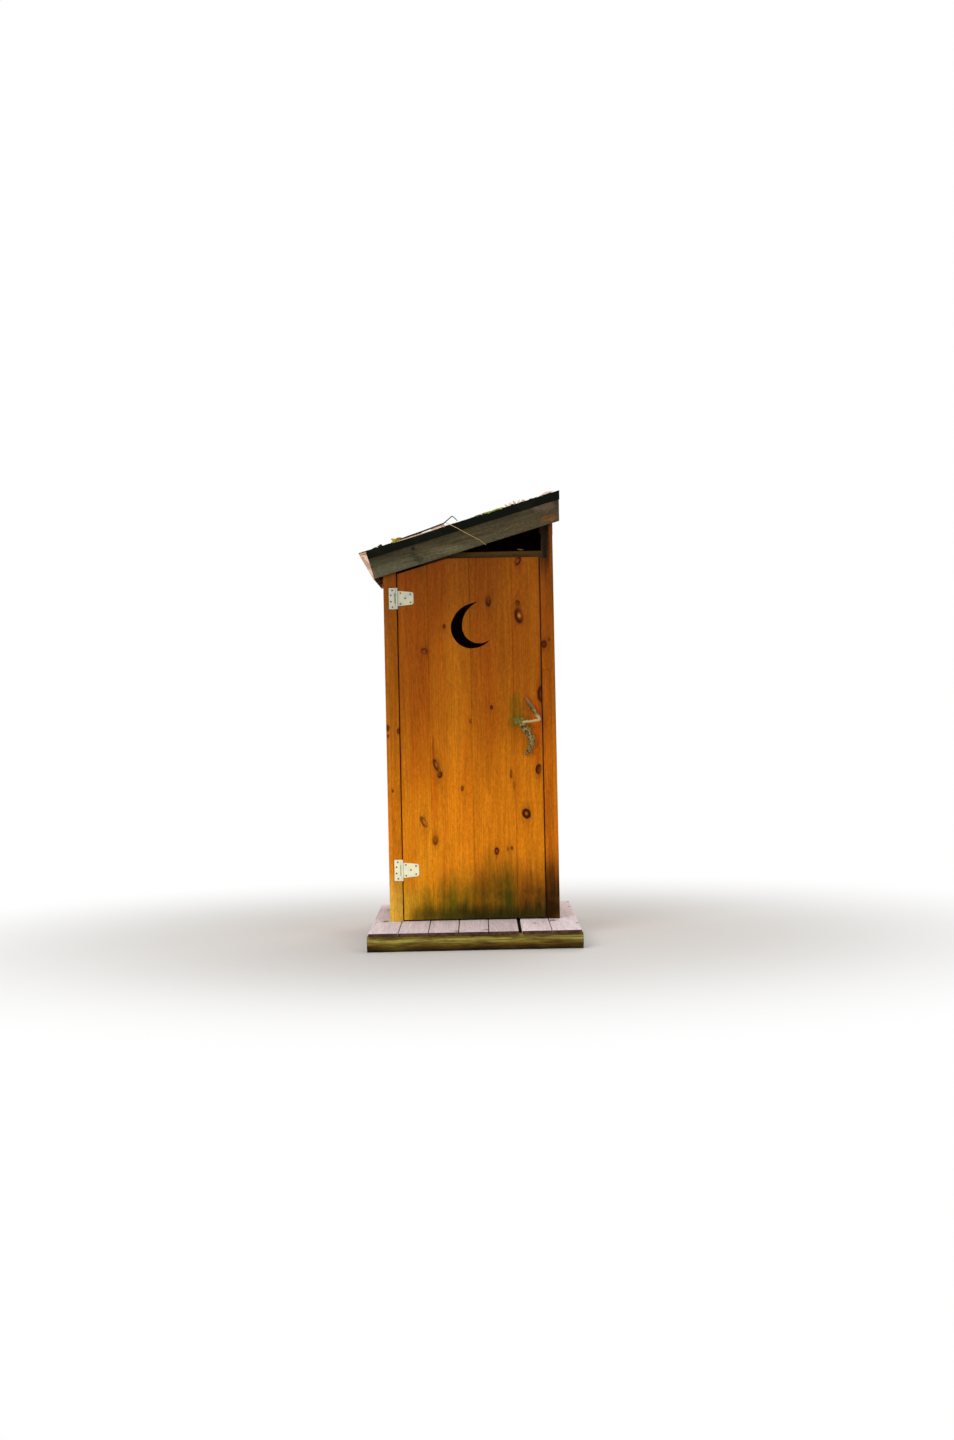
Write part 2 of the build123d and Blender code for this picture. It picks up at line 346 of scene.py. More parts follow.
@dataclass(frozen=True)
class Smudge:
    """A soft patch where the wood has another colour.

    Attributes:
        x: Its middle, to the right of the door's middle.
        height: Its height over the deck.
        half_width: Half its width.
        half_height: Half its height.
        colour: Its colour.
        cover: How much of the wood it hides, from 0 to 1.
    """

    x: float
    height: float
    half_width: float
    half_height: float
    colour: Colour
    cover: float


@dataclass(frozen=True)
class Growth:
    """Algae or damp that creeps up a board from the deck.

    Attributes:
        left: Where it starts, to the right of the door's middle.
        right: Where it ends.
        top: How high it reaches over the deck.
        colour: Its colour.
        cover: How much of the wood it hides, from 0 to 1.
        full: Up to what share of its height it is thickest.
        all_round: Whether it grows on every side of the hut and not on the front alone.
    """

    left: float
    right: float
    top: float
    colour: Colour
    cover: float
    full: float = 0.25
    all_round: bool = False


@dataclass(frozen=True)
class Finish:
    """What a surface is made of.

    Attributes:
        name: The material's name.
    """

    name: str

    def build(self) -> bpy.types.Material:
        """The material, which is made when it is first asked for."""
        known = bpy.data.materials.get(self.name)
        if known:
            return known
        material = bpy.data.materials.new(self.name)
        material.use_nodes = True
        self.draw(Graph(material.node_tree))
        return material

    def draw(self, graph: Graph) -> None:
        """Adds the material's nodes."""
        raise NotImplementedError


@dataclass(frozen=True)
class Wood(Finish):
    """Sawn boards with their figure: growth rings, streaks, fibres and knots.

    Attributes:
        grain: Which way the fibres run.
        colours: The colour at each share of the hut's height.
        figure: How strongly rings and streaks show.
        ring_width: The usual width of a growth ring on the face.
        wander: How far the rings wander sideways.
        knots: Knots at known places.
        loose_knots: How many knots lie scattered, from 0 to 1.
        growths: Algae and damp at the foot.
        smudges: Patches of another colour.
        tint: What the redder streaks multiply the light by.
        end_colour: The colour of its cut ends.
        runoff: The colour of the water stain along its upper edge, for a board on the roof's slope.
        fresh_side: Which way its sheltered face looks, or nothing; that face is painted pale as fresh wood
            and as painted light.
        sheen: How much it shines.
        knot_colour: The colour of a knot.
        roughness: How matt the wood is.
        relief: How high the grain stands.
        offset: Where in the endless wood this board was cut.
        tone: How light the board is against its neighbours.
        breaks: How often streaks and fibres break off along the board.
    """

    grain: Grain
    colours: tuple[tuple[float, Colour], ...] = ()
    figure: float = 0.5
    ring_width: float = 0.016
    wander: float = 0.09
    knots: tuple[Knot, ...] = ()
    loose_knots: float = 0.0
    growths: tuple[Growth, ...] = ()
    smudges: tuple[Smudge, ...] = ()
    tint: Colour = (1.08, 0.74, 0.6, 1.0)
    end_colour: Colour = paint(104, 70, 40)
    runoff: Colour | None = None
    fresh_side: tuple[float, float, float] | None = None
    sheen: float = 0.1
    knot_colour: Colour = paint(84, 32, 6)
    roughness: float = 0.5
    relief: float = 0.0005
    offset: float = 0.0
    tone: float = 1.0
    breaks: float = 1.5

    def draw(self, graph: Graph) -> None:
        """Adds the wood's nodes."""
        WoodPainter(self, graph).draw()


class WoodPainter:
    """Draws the nodes of one wood, layer upon layer."""

    def __init__(self, wood: Wood, graph: Graph) -> None:
        """Finds the place on the board, which its knots push aside, and the figure there."""
        self.wood = wood
        self.graph = graph
        self.x, self.y, self.z = graph.axes()
        self.across, self.through, self.along = wood.grain.axes(graph)
        self.number = graph.piece_number()
        place = graph.vector(self.across * 38.0, self.through * 38.0, self.along * 22.0)
        self.shape = graph.noise(place, 2.0)
        self.wobble = (self.shape - 0.5) * 0.5
        for knot in wood.knots:
            self.across = self.across - self.push(knot)
        self.near_front = self.y.fall(DOOR_FACE + 0.04, DOOR_FACE + 0.09)
        self.add_figure()

    def off(self, spot: Knot | Smudge) -> tuple[Value, Value]:
        """How far to the right of a spot and above it this place is."""
        return self.x - spot.x, self.z - (DECK_TOP + spot.height)

    def push(self, knot: Knot) -> Value:
        """How far the grain is pushed aside where it flows round a knot."""
        aside, level = self.off(knot)
        near = (aside * (0.5 / knot.half_width)).bell()
        return aside * near * (level * (0.42 / knot.half_height)).bell() * 0.85

    def add_figure(self) -> None:
        """Works out the rings, the broad bands, the streaks and the fine fibres, each from 0 to 1."""
        noise, vector = self.graph.noise, self.graph.vector
        side = self.across + self.number * 7.3 + self.wood.offset
        run = self.along + self.number * 11.9 + self.wood.offset * 3.0
        breaks = self.wood.breaks

        def figure(fineness: float, length: float, detail: float, roughness: float) -> Value:
            """Noise that is drawn out along the board."""
            place = vector(side * fineness, self.through * fineness, run * length)
            return noise(place, detail, roughness)

        drift = figure(5.0, 0.55, 2.0, 0.45)
        crowd = figure(15.0, 0.4, 1.0, 0.5)
        ring_place = side + self.through * 0.6 + drift * self.wood.wander * 2.0
        rings = self.graph.math("FRACT", ring_place * (1.0 / self.wood.ring_width) + crowd * 7.0)
        self.rings = rings.rise(0.15, 0.9) * rings.fall(0.9, 1.0)
        self.bands = figure(12.0, 0.5, 2.0, 0.55)
        self.streaks = figure(55.0, 2.2 * breaks, 3.0, 0.6)
        self.fibres = figure(230.0, 15.0 * breaks, 2.0, 0.6)
        place = vector(self.across * 120.0, self.through * 120.0, self.along * 62.0)
        self.mottle = noise(place, 3.0, 0.75)

    def draw(self) -> None:
        """Adds the layers, from the stain up to the knots and the cut ends."""
        wood, graph = self.wood, self.graph
        # The colour by height; for the stained boards it holds painted shade above and painted light below.
        colour = graph.value("ValToRGB", {"stops": wood.colours}, {0: self.z * (1.0 / CAD_BOX[1].z)})
        colour = self.add_weather(colour)
        colour = graph.mix(self.bands.rise(0.46, 0.72) * wood.figure, colour, wood.tint, "MULTIPLY")
        colour = graph.shade(colour, self.tone())
        for knot in wood.knots:
            colour = self.add_knot(colour, knot)
        if wood.loose_knots:
            colour = self.scatter_knots(colour)
        cut_end = abs(graph.facing(wood.grain.value[2])).rise(0.8, 0.95)
        blotches = self.shape.rise(0.42, 0.56) * 0.45 + 0.6
        end_colour = graph.shade(wood.end_colour, (self.fibres * 0.5 + 0.75) * blotches)
        colour = graph.mix(cut_end, colour, end_colour)
        relief = self.rings * 0.35 + self.fibres * 0.65
        roughness = wood.roughness + (self.streaks - 0.5) * 0.16
        graph.finish(colour, roughness, relief, wood.relief, {"Specular IOR Level": wood.sheen})

    def add_weather(self, colour: Value) -> Value:
        """Paints what water, light and algae did to the stain, the painted shade among the smudges, and the
        sheltered side, which is partly painted light.
        """
        wood, graph = self.wood, self.graph
        uneven = self.streaks - 0.5
        if wood.runoff:
            depth = ROOF.middle * math.cos(ROOF_PITCH) - self.across + uneven * 0.05
            colour = graph.mix(depth.fall(0.03, 0.13) * 0.8, colour, wood.runoff)
        outside = self.near_front * graph.facing((0.0, 1.0, 0.0)).fall(0.3, 0.6)
        for smudge in wood.smudges:
            aside, level = self.off(smudge)
            reach = graph.length(aside * (1.0 / smudge.half_width), level * (1.0 / smudge.half_height))
            cover = (reach + uneven * 0.7).fall(0.45, 1.15) * outside * smudge.cover
            colour = graph.mix(cover, colour, smudge.colour)
        slow = graph.noise(graph.vector(self.x * 11.0, self.y * 11.0, self.z * 3.0), 2.0)
        height = self.z - DECK_TOP + uneven * 0.06 + (slow - 0.5) * 0.12
        for growth in wood.growths:
            colour = self.add_growth(colour, height, growth)
        # The sheltered side: pale fresh wood, partly painted light.
        if wood.fresh_side:
            colour = graph.mix(graph.facing(wood.fresh_side).rise(0.5, 0.8), colour, FRESH_WOOD_AND_PAINTED_LIGHT)
        return colour

    def add_growth(self, colour: Value, height: Value, growth: Growth) -> Value:
        """Paints algae or damp that creeps up the grain, to an uneven height."""
        soft = 0.04
        place = self.graph.vector(self.x * 16.0, 0.0, self.z * 8.0)
        patches = self.graph.noise(place, 3.0, 0.55).rise(0.3, 0.6)
        cover = height.fall(growth.top * growth.full, growth.top) * (patches * 0.2 + 0.8)
        cover = cover * (1.0 if growth.all_round else self.near_front)
        cover = cover * self.x.rise(growth.left - soft, growth.left + soft)
        cover = cover * self.x.fall(growth.right - soft, growth.right + soft)
        return self.graph.mix(cover * growth.cover, colour, growth.colour)

    def tone(self) -> Value:
        """How light or dark the figure makes the wood."""
        figure = self.wood.figure
        tone = 1.0 - self.rings * (0.28 * figure)
        for layer, strength in (
            (self.bands, -0.9),
            (self.streaks, 1.2),
            (self.fibres, 1.2),
            (self.mottle, 1.9),
        ):
            tone = tone * (1.0 + (layer - 0.5) * (strength * figure))
        return tone * ((self.number - 0.5) * 0.22 + self.wood.tone)

    def knot_rim(self, share: float) -> Colour:
        """The colour of a knot's dark rim, as a share of its body's light."""
        red, green, blue, _ = self.wood.knot_colour
        return (red * share, green * share, blue * share, 1.0)

    def add_knot(self, colour: Value, knot: Knot) -> Value:
        """Paints a knot: a shadow along the grain, a dark rim, a brown body and a pale heart."""
        mix, body_colour = self.graph.mix, self.wood.knot_colour
        turn = math.radians(knot.turn)
        aside, level = self.off(knot)
        width = (aside * math.cos(turn) + level * math.sin(turn)) * (1.0 / knot.half_width)
        length = (level * math.cos(turn) - aside * math.sin(turn)) * (1.0 / knot.half_height)
        reach = self.graph.length(width, length) + self.wobble
        weight = 1.0
        if knot.dark_side is not None:
            way = math.radians(knot.dark_side)
            weight = (width * math.cos(way) + length * math.sin(way)).rise(-1.1, 0.6)
        shadow = (aside * (0.8 / knot.half_width)).bell() * (level * (0.42 / knot.half_height)).bell()
        body = reach.fall(0.8, 1.08) * (weight * 0.55 + 0.45)
        rim = ((reach - 0.84) * 3.8).bell() * weight
        colour = mix(shadow * (0.45 * knot.depth), colour, body_colour)
        colour = mix(body * (0.95 * knot.depth), colour, body_colour)
        colour = mix(rim * (0.92 * knot.depth), colour, self.knot_rim(0.22))
        return mix(reach.fall(0.1, 0.5) * knot.heart, colour, KNOT_HEART)

    def scatter_knots(self, colour: Value) -> Value:
        """Paints knots at random places, in some cells of a loose net."""
        graph, body_colour, share = self.graph, self.wood.knot_colour, self.wood.loose_knots
        run = self.along * 3.6 + self.number * 31.0 + self.wood.offset
        place = graph.vector(self.across * 6.5 + self.number * 19.0, run, 0.0)
        cells = graph.node("TexVoronoi", {"voronoi_dimensions": "2D"}, {"Vector": place, "Scale": 1.0})
        chance = graph.value("SeparateColor", None, {0: Value(graph, cells.outputs["Color"])})
        there = chance.fall(share, share + 0.02)
        size = chance * (0.085 / share) + 0.035
        uneven = graph.noise(graph.vector(self.across * 60.0, self.along * 34.0, 2.0), 2.0)
        reach = Value(graph, cells.outputs["Distance"]) / size + (uneven - 0.5) * 0.5
        rim = ((reach - 0.9) * 4.0).bell() * there
        colour = graph.mix((reach * 0.5).bell() * there * 0.35, colour, body_colour)
        colour = graph.mix(reach.fall(0.75, 1.05) * there * 0.7, colour, body_colour)
        return graph.mix(rim * 0.6, colour, self.knot_rim(0.34))


KNOT_HEART = paint(186, 112, 44)
# The stain by height, with painted shade towards the roof and painted light near the deck.
STAIN_WITH_PAINTED_LIGHT_BY_HEIGHT = (
    (0.04, paint(212, 140, 20)),
    (0.11, paint(214, 128, 16)),
    (0.27, paint(212, 122, 14)),
    (0.40, paint(193, 110, 12)),
    (0.50, paint(168, 94, 11)),
    (0.60, paint(155, 85, 11)),
    (0.70, paint(142, 76, 11)),
    (0.80, paint(125, 66, 10)),
    (0.86, paint(117, 60, 10)),
    (0.93, paint(90, 46, 9)),
)
LEFT_FOOT = Growth(-0.60, -0.35, 0.34, paint(232, 188, 70), 0.85)
RIGHT_FOOT = Growth(0.33, 0.60, 0.45, paint(48, 27, 6), 0.975, 0.3)
FRONT_GROWTHS = (
    Growth(-0.42, -0.29, 0.28, paint(204, 160, 38), 0.85),
    Growth(-0.30, -0.19, 0.25, paint(122, 98, 10), 0.85),
    Growth(-0.19, -0.075, 0.34, paint(80, 80, 7), 0.97),
    Growth(-0.085, 0.03, 0.36, paint(100, 78, 8), 0.95),
    Growth(0.02, 0.225, 0.44, paint(72, 60, 7), 0.97),
    Growth(0.15, 0.225, 0.36, paint(58, 62, 7), 0.75),
    Growth(0.225, 0.50, 0.40, paint(80, 47, 8), 0.94),
    Growth(-0.34, 0.40, 0.10, paint(56, 50, 8), 0.8),
    Growth(-0.09, 0.40, 0.12, paint(46, 40, 7), 0.85),
)
FRONT_SMUDGES_AND_PAINTED_SHADE = (
    Smudge(-0.285, 0.42, 0.12, 0.36, paint(236, 152, 22), 0.5),
    Smudge(-0.206, 0.93, 0.006, 0.07, paint(130, 48, 6), 0.6),
    Smudge(-0.203, 0.64, 0.020, 0.19, paint(190, 78, 8), 0.4),
    Smudge(-0.203, 0.44, 0.022, 0.05, paint(168, 60, 10), 0.45),
    Smudge(0.290, 1.76, 0.15, 0.36, paint(192, 108, 16), 0.2),
    Smudge(0.415, 0.57, 0.05, 0.22, paint(136, 74, 12), 0.3),
    Smudge(0.352, 1.02, 0.030, 0.22, paint(196, 78, 6), 0.55),
    Smudge(0.246, 1.14, 0.040, 0.10, paint(112, 88, 14), 0.6),
    Smudge(0.246, 1.068, 0.050, 0.040, paint(112, 96, 20), 0.7),
    Smudge(-0.345, 1.86, 0.060, 0.10, paint(128, 54, 8), 0.45),
    # Painted shade: the tops of the front right post, the right trim and the right wall's front edge, dark
    # as if in the roof's shadow.
    Smudge(0.413, 2.13, 0.034, 0.33, paint(22, 15, 5), 0.97),
)
LEFT_EDGE_KNOTS = (
    Smudge(-0.448, 1.042, 0.011, 0.024, paint(78, 30, 6), 0.9),
    Smudge(-0.447, 0.999, 0.008, 0.014, paint(84, 32, 6), 0.8),
)
# Pale fresh wood for the sheltered faces, made this pale partly as painted light for the sunlit underside
# of the eaves.
FRESH_WOOD_AND_PAINTED_LIGHT = paint(234, 202, 178)
SIDE_GROWTHS = (Growth(-2.0, 2.0, 0.24, paint(84, 78, 16), 0.6, all_round=True),)


def stained_pine(name: str, grain: Grain = Grain.UP_FRONT, **traits: Any) -> Wood:
    """Pine under an orange oil stain, darkened with painted shade towards the roof and brightened with
    painted light near the deck.
    """
    traits = {"colours": STAIN_WITH_PAINTED_LIGHT_BY_HEIGHT, "roughness": 0.46, "sheen": 0.04, "figure": 0.52, **traits}
    return Wood(name=name, grain=grain, **traits)


def frame_pine(name: str, grain: Grain, **traits: Any) -> Wood:
    """Bare sawn pine inside the hut, brown with age."""
    colours = ((0.0, paint(122, 92, 60)), (1.0, paint(96, 66, 40)))
    traits = {"colours": colours, "roughness": 0.75, "loose_knots": 0.3, "relief": 0.0008, **traits}
    return Wood(name=name, grain=grain, **traits)


def weathered_board(name: str, grain: Grain, **traits: Any) -> Wood:
    """An unpainted board, weathered olive grey low on the slope and purplish brown higher up."""
    colours = (
        (0.80, paint(92, 88, 68)),
        (0.87, paint(80, 75, 54)),
        (0.93, paint(84, 75, 54)),
        (1.0, paint(88, 70, 54)),
    )
    traits = {
        "colours": colours,
        "roughness": 0.8,
        "relief": 0.0012,
        "ring_width": 0.012,
        "breaks": 3.0,
        "tint": (0.86, 0.72, 0.62, 1.0),
        # Pale sawn ends, partly painted light for the sunlit end of the front rake board.
        "end_colour": paint(226, 188, 162),
        "runoff": paint(44, 37, 18),
        **traits,
    }
    knot_colour = paint(44, 34, 20)
    return Wood(name=name, grain=grain, knot_colour=knot_colour, **traits)


# Foot-worn boards, silver grey with a little pink, painted near white as painted sunlight.
DECK_PLANK = Wood(
    name="deck_plank",
    grain=Grain.BACK,
    colours=((0.0, paint(234, 220, 222)), (1.0, paint(236, 224, 226))),
    roughness=0.78,
    relief=0.0012,
    loose_knots=0.3,
    figure=0.4,
    tint=(0.86, 0.82, 0.83, 1.0),
    # The board ends: dark end grain, darker still as painted shade on the front ends.
    end_colour=paint(84, 56, 42),
    knot_colour=paint(120, 98, 86),
)


@dataclass(frozen=True)
class LogBark(Finish):
    """A peeled log with algae over it, olive on top and dark brown beneath, its top lightened with painted
    light and its underside darkened with painted shade.

    Attributes:
        half_length: Half the log's length, where its cut ends are.
    """

    half_length: float

    def draw(self, graph: Graph) -> None:
        """Adds the bark's and the cut ends' nodes."""
        x, y, z = graph.axes()
        streaks = graph.noise(graph.vector(x * 6.0, y * 90.0, z * 90.0), 4.0, 0.65)
        blotches = graph.noise(graph.vector(x * 5.0, y * 9.0, z * 14.0), 3.0, 0.6)
        mottle = graph.noise(graph.vector(x * 11.0, y * 40.0, z * 70.0 + 3.0), 3.0, 0.6)
        height = z + (blotches - 0.5) * 0.05
        # Painted shade low on the log and painted light on its top, under the olive algae.
        colour = graph.mix(height.rise(0.006, 0.045), paint(50, 34, 12), paint(104, 76, 20))
        colour = graph.mix(height.rise(0.030, 0.062), colour, paint(160, 146, 66))
        colour = graph.mix(blotches.rise(0.5, 0.74) * 0.5, colour, paint(92, 96, 28))
        colour = graph.mix(mottle.rise(0.46, 0.66) * 0.6, colour, paint(94, 62, 22))
        colour = graph.shade(colour, streaks * 1.3 + 0.35)
        crack = graph.noise(graph.vector(x * 2.2, y * 60.0, z * 60.0 + 4.0), 2.0, 0.5)
        crack_line = ((crack - 0.5) * 26.0).bell()
        colour = graph.mix(crack_line * 0.55, colour, paint(24, 16, 8))
        cut_end = abs(x).rise(self.half_length - 0.0016, self.half_length - 0.0006)
        end_rings = graph.math("FRACT", abs(z - 0.04) * 260.0 + blotches * 3.0)
        colour = graph.mix(cut_end, colour, graph.mix(end_rings, paint(92, 70, 40), paint(58, 42, 24)))
        relief = streaks * 0.6 - crack_line * 0.5
        graph.finish(colour, 0.82, relief, 0.003, {"Specular IOR Level": 0.1})


@dataclass(frozen=True)
class BranchWood(Finish):
    """A barkless branch, mottled grey brown where it is thick and pale where it is thin, with painted shade
    on the left side of its upper arm.

    Attributes:
        thick_top: The height over the ground up to which the branch is thick.
    """

    thick_top: float

    def draw(self, graph: Graph) -> None:
        """Adds the branch's nodes."""
        x, y, z = graph.axes()
        mottle = graph.noise(graph.vector(x * 95.0, y * 95.0, z * 60.0), 3.0, 0.65)
        spots = graph.noise(graph.vector(x * 70.0, y * 70.0, z * 70.0 + 9.0), 2.0, 0.5).rise(0.53, 0.62)
        thin = z.rise(self.thick_top - 0.012, self.thick_top + 0.01)
        high = z.rise(self.thick_top + 0.025, self.thick_top + 0.06)
        pale = graph.mix(mottle, paint(150, 128, 78), paint(206, 190, 138))
        patches = mottle.rise(0.35, 0.65)
        dull = graph.mix(patches, paint(92, 72, 42), paint(158, 128, 84))
        # Painted shade: the upper arm's faces that look left are darkened, as if that side lay in shadow.
        dull = graph.mix(graph.facing((-1.0, 0.0, 0.0)).rise(0.0, 0.7) * 0.7, dull, paint(60, 34, 14))
        thick = graph.mix(patches, paint(80, 64, 30), paint(160, 134, 80))
        thick = graph.mix(spots * 0.9, thick, paint(38, 25, 11))
        colour = graph.mix(high, graph.mix(thin, thick, pale), dull)
        tip = z.rise(self.thick_top + 0.105, self.thick_top + 0.130)
        colour = graph.mix(tip * 0.8, colour, paint(150, 84, 50))
        graph.finish(colour, 0.72, mottle, 0.0016, {"Specular IOR Level": 0.1})


@dataclass(frozen=True)
class RoofingFelt(Finish):
    """Black bitumen sheet with a fine grit and dust in its hollows."""

    def draw(self, graph: Graph) -> None:
        """Adds the sheet's nodes."""
        x, y, z = graph.axes()
        grit = graph.noise(graph.place(), 3.0, 0.7, 900.0)
        dust = graph.noise(graph.vector(x * 6.0, y * 6.0, z * 6.0), 4.0, 0.6)
        waves = graph.noise(graph.vector(x * 9.0, y * 5.0, z * 9.0), 2.0, 0.5)
        colour = graph.mix(grit, paint(5, 7, 4), paint(19, 22, 15))
        colour = graph.mix(dust.rise(0.5, 0.78) * 0.35, colour, paint(46, 44, 32))
        graph.finish(colour, 0.85, grit * 0.25 + waves * 0.75, 0.0024, {"Specular IOR Level": 0.06})


@dataclass(frozen=True)
class ZincPlate(Finish):
    """Dull zinc on steel, with a bloom over it and a painted shadow beside the barrel.

    Attributes:
        colour: The clean zinc.
        bloom: The dull bloom.
        barrel_shadow_colour: The colour of the painted shadow beside the barrel.
        slot: The middle of the painted shadow beside the barrel, across the door and over the ground.
    """

    colour: Colour
    bloom: Colour
    barrel_shadow_colour: Colour
    slot: tuple[float, float]

    def draw(self, graph: Graph) -> None:
        """Adds the zinc's nodes."""
        patches = graph.noise(graph.place(), 3.0, 0.5, 26.0)
        flecks = graph.noise(graph.place(), 2.0, 0.6, 420.0)
        colour = graph.mix(patches.rise(0.3, 0.75), self.colour, self.bloom)
        colour = graph.shade(colour, flecks * 0.3 + 0.85)
        x, _, z = graph.axes()
        # Painted shadow: a dark stripe beside the barrel, where the barrel's shade falls on the leaf.
        slot = abs(x - self.slot[0]).fall(0.0018, 0.0036) * abs(z - self.slot[1]).fall(0.026, 0.031)
        colour = graph.mix(slot * 0.9, colour, self.barrel_shadow_colour)
        gloss = {"Metallic": 0.2, "Specular IOR Level": 0.25}
        graph.finish(colour, patches * 0.2 + 0.42, flecks, 0.0002, gloss)


@dataclass(frozen=True)
class Speckled(Finish):
    """Small loose things, each in a colour of its own out of a few.

    Attributes:
        colours: The colours, spread over the pieces by their number.
        roughness: How matt they are.
        grain: How many specks there are to a metre.
    """

    colours: tuple[Colour, ...]
    roughness: float = 0.7
    grain: float = 260.0

    def draw(self, graph: Graph) -> None:
        """Adds the nodes for all the colours."""
        specks = graph.noise(graph.place(), 3.0, 0.6, self.grain)
        stops = [(index / (len(self.colours) - 1), colour) for index, colour in enumerate(self.colours)]
        colour = graph.value("ValToRGB", {"stops": stops}, {0: graph.piece_number()})
        colour = graph.shade(colour, specks * 0.9 + 0.55)
        graph.finish(colour, self.roughness, specks, 0.0006, {"Specular IOR Level": 0.1})


WALL_NAIL = Speckled("wall_nail", (paint(50, 36, 24), paint(76, 52, 30), paint(60, 46, 36)))
RUSTY_NAIL = Speckled("rusty_nail", (paint(58, 44, 36), paint(84, 60, 44), paint(50, 44, 42)))
DARK_SCREW = Speckled("dark_screw", (paint(44, 42, 38), paint(66, 62, 54)), 0.5, 500.0)


@dataclass(frozen=True)
class StudioFloor(Finish):
    """A pale floor that fades to white far out.

    Attributes:
        near: How far from the middle it starts to fade.
        far: Where it is all white.
    """

    near: float = 1.0
    far: float = 3.8

    def draw(self, graph: Graph) -> None:
        """Adds the floor's nodes. Only the camera sees the white."""
        reach = graph.value("VectorMath", {"operation": "LENGTH"}, {0: graph.place()}, "Value")
        seen = graph.value("LightPath", None, None, "Is Camera Ray")
        near_shader = graph.value("BsdfDiffuse", None, {0: paint(226, 224, 220)})
        far_shader = graph.value("Emission", None, {0: WHITE, 1: 1.0})
        sockets = {0: reach.rise(self.near, self.far) * seen, 1: near_shader, 2: far_shader}
        graph.node("OutputMaterial", None, {0: graph.value("MixShader", None, sockets)})


class Workshop:
    """Blender's modelling tools, each used on one piece at a time."""

    def __init__(self) -> None:
        """Starts the count of pieces."""
        self.log = logging.getLogger("outhouse")
        self.count = 0

    @staticmethod
    def pick(*pieces: bpy.types.Object) -> None:
        """Selects these pieces alone, the first of them active."""
        bpy.ops.object.select_all(action="DESELECT")
        for piece in pieces:
            piece.select_set(True)
        bpy.context.view_layer.objects.active = pieces[0]

    @contextmanager
    def editing(
        self, piece: bpy.types.Object, chosen: EdgeTest | None = None
    ) -> Iterator[None]:
        """Opens a piece in edit mode.

        Args:
            piece: The piece.
            chosen: Says of an edge's two ends whether it is selected. Without it, all is selected.

        Yields:
            Nothing, while edit mode is on.
        """
        self.pick(piece)
        bpy.ops.object.mode_set(mode="EDIT")
        bpy.ops.mesh.select_mode(type="EDGE")
        bpy.ops.mesh.select_all(action="SELECT" if chosen is None else "DESELECT")
        if chosen is not None:
            bpy.ops.object.mode_set(mode="OBJECT")
            spots = [vertex.co for vertex in piece.data.vertices]
            for edge in piece.data.edges:
                edge.select = chosen(spots[edge.vertices[0]], spots[edge.vertices[1]])
            bpy.ops.object.mode_set(mode="EDIT")
        yield
        bpy.ops.object.mode_set(mode="OBJECT")

    @staticmethod
    def settle(piece: bpy.types.Object) -> None:
        """Puts a piece's place, turn and size into its mesh."""
        Workshop.pick(piece)
        bpy.ops.object.transform_apply(location=True, rotation=True, scale=True)

    def block(self, name: str, low: Vector, high: Vector) -> bpy.types.Object:
        """A block between two corners."""
        bpy.ops.mesh.primitive_cube_add(size=1, location=(low + high) / 2)
        piece = bpy.context.object
        piece.name = name
        piece.scale = high - low
        self.settle(piece)
        return piece

    def ease(
        self,
        piece: bpy.types.Object,
        width: float,
        steps: int = 2,
        chosen: EdgeTest | None = None,
    ) -> None:
        """Takes the sharpness off a piece's edges, or off some of them."""
        with self.editing(piece, chosen):
            bpy.ops.mesh.bevel(offset=width, offset_type="OFFSET", segments=steps, affect="EDGES")

    def saw(self, piece: bpy.types.Object, point: Vector, away: Vector) -> None:
        """Saws off all that lies beyond a plane, and closes the cut."""
        with self.editing(piece):
            bpy.ops.mesh.bisect(plane_co=point, plane_no=away, use_fill=True, clear_outer=True)

    def split(self, piece: bpy.types.Object, axis: int, cuts: int) -> None:
        """Divides the edges that run along an axis."""

        def runs_along(start: Vector, end: Vector) -> bool:
            """Says whether an edge runs along the axis."""
            run = end - start
            return abs(run[axis]) > 0.9 * run.length

        with self.editing(piece, runs_along):
            bpy.ops.mesh.subdivide(number_cuts=cuts)

    def modify(self, piece: bpy.types.Object, kind: str, **settings: Any) -> None:
        """Adds a modifier and applies it."""
        self.pick(piece)
        modifier = piece.modifiers.new(kind.lower(), kind)
        for name, setting in settings.items():
            setattr(modifier, name, setting)
        bpy.ops.object.modifier_apply(modifier=modifier.name)

    def roughen(
        self, piece: bpy.types.Object, size: float, strength: float, group: str = "", depth: int = 2
    ) -> None:
        """Makes a surface uneven.

        Args:
            piece: The piece.
            size: The size of the bumps.
            strength: How far they reach in all.
            group: The group of points that it moves, or all of them.
            depth: How many finer layers of bumps lie on the first.
        """
        texture = bpy.data.textures.new(f"{piece.name}_bumps", "CLOUDS")
        texture.noise_scale = size
        texture.noise_depth = depth
        self.modify(piece, "DISPLACE", texture=texture, strength=strength, vertex_group=group)

    def copy_node(self, node: str, edge: float = 0.0) -> bpy.types.Object:
        """A copy of a solid as one clean mesh, its flat faces whole again and its edges eased."""
        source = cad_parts[node]
        piece = bpy.data.objects.new(f"{node}_eased", source.data.copy())
        bpy.context.scene.collection.objects.link(piece)
        self.pick(piece)
        bpy.ops.mesh.customdata_custom_splitnormals_clear()
        with self.editing(piece):
            bpy.ops.mesh.remove_doubles(threshold=MERGE_DISTANCE)
            bpy.ops.mesh.dissolve_limited(angle_limit=math.radians(0.5))
        if edge:
            self.ease(piece, edge)
        return piece

    @staticmethod
    def twin(piece: bpy.types.Object, place: Matrix) -> bpy.types.Object:
        """A copy of a piece with its own mesh, moved there."""
        made = bpy.data.objects.new(piece.name, piece.data.copy())
        made.data.transform(place)
        bpy.context.scene.collection.objects.link(made)
        return made

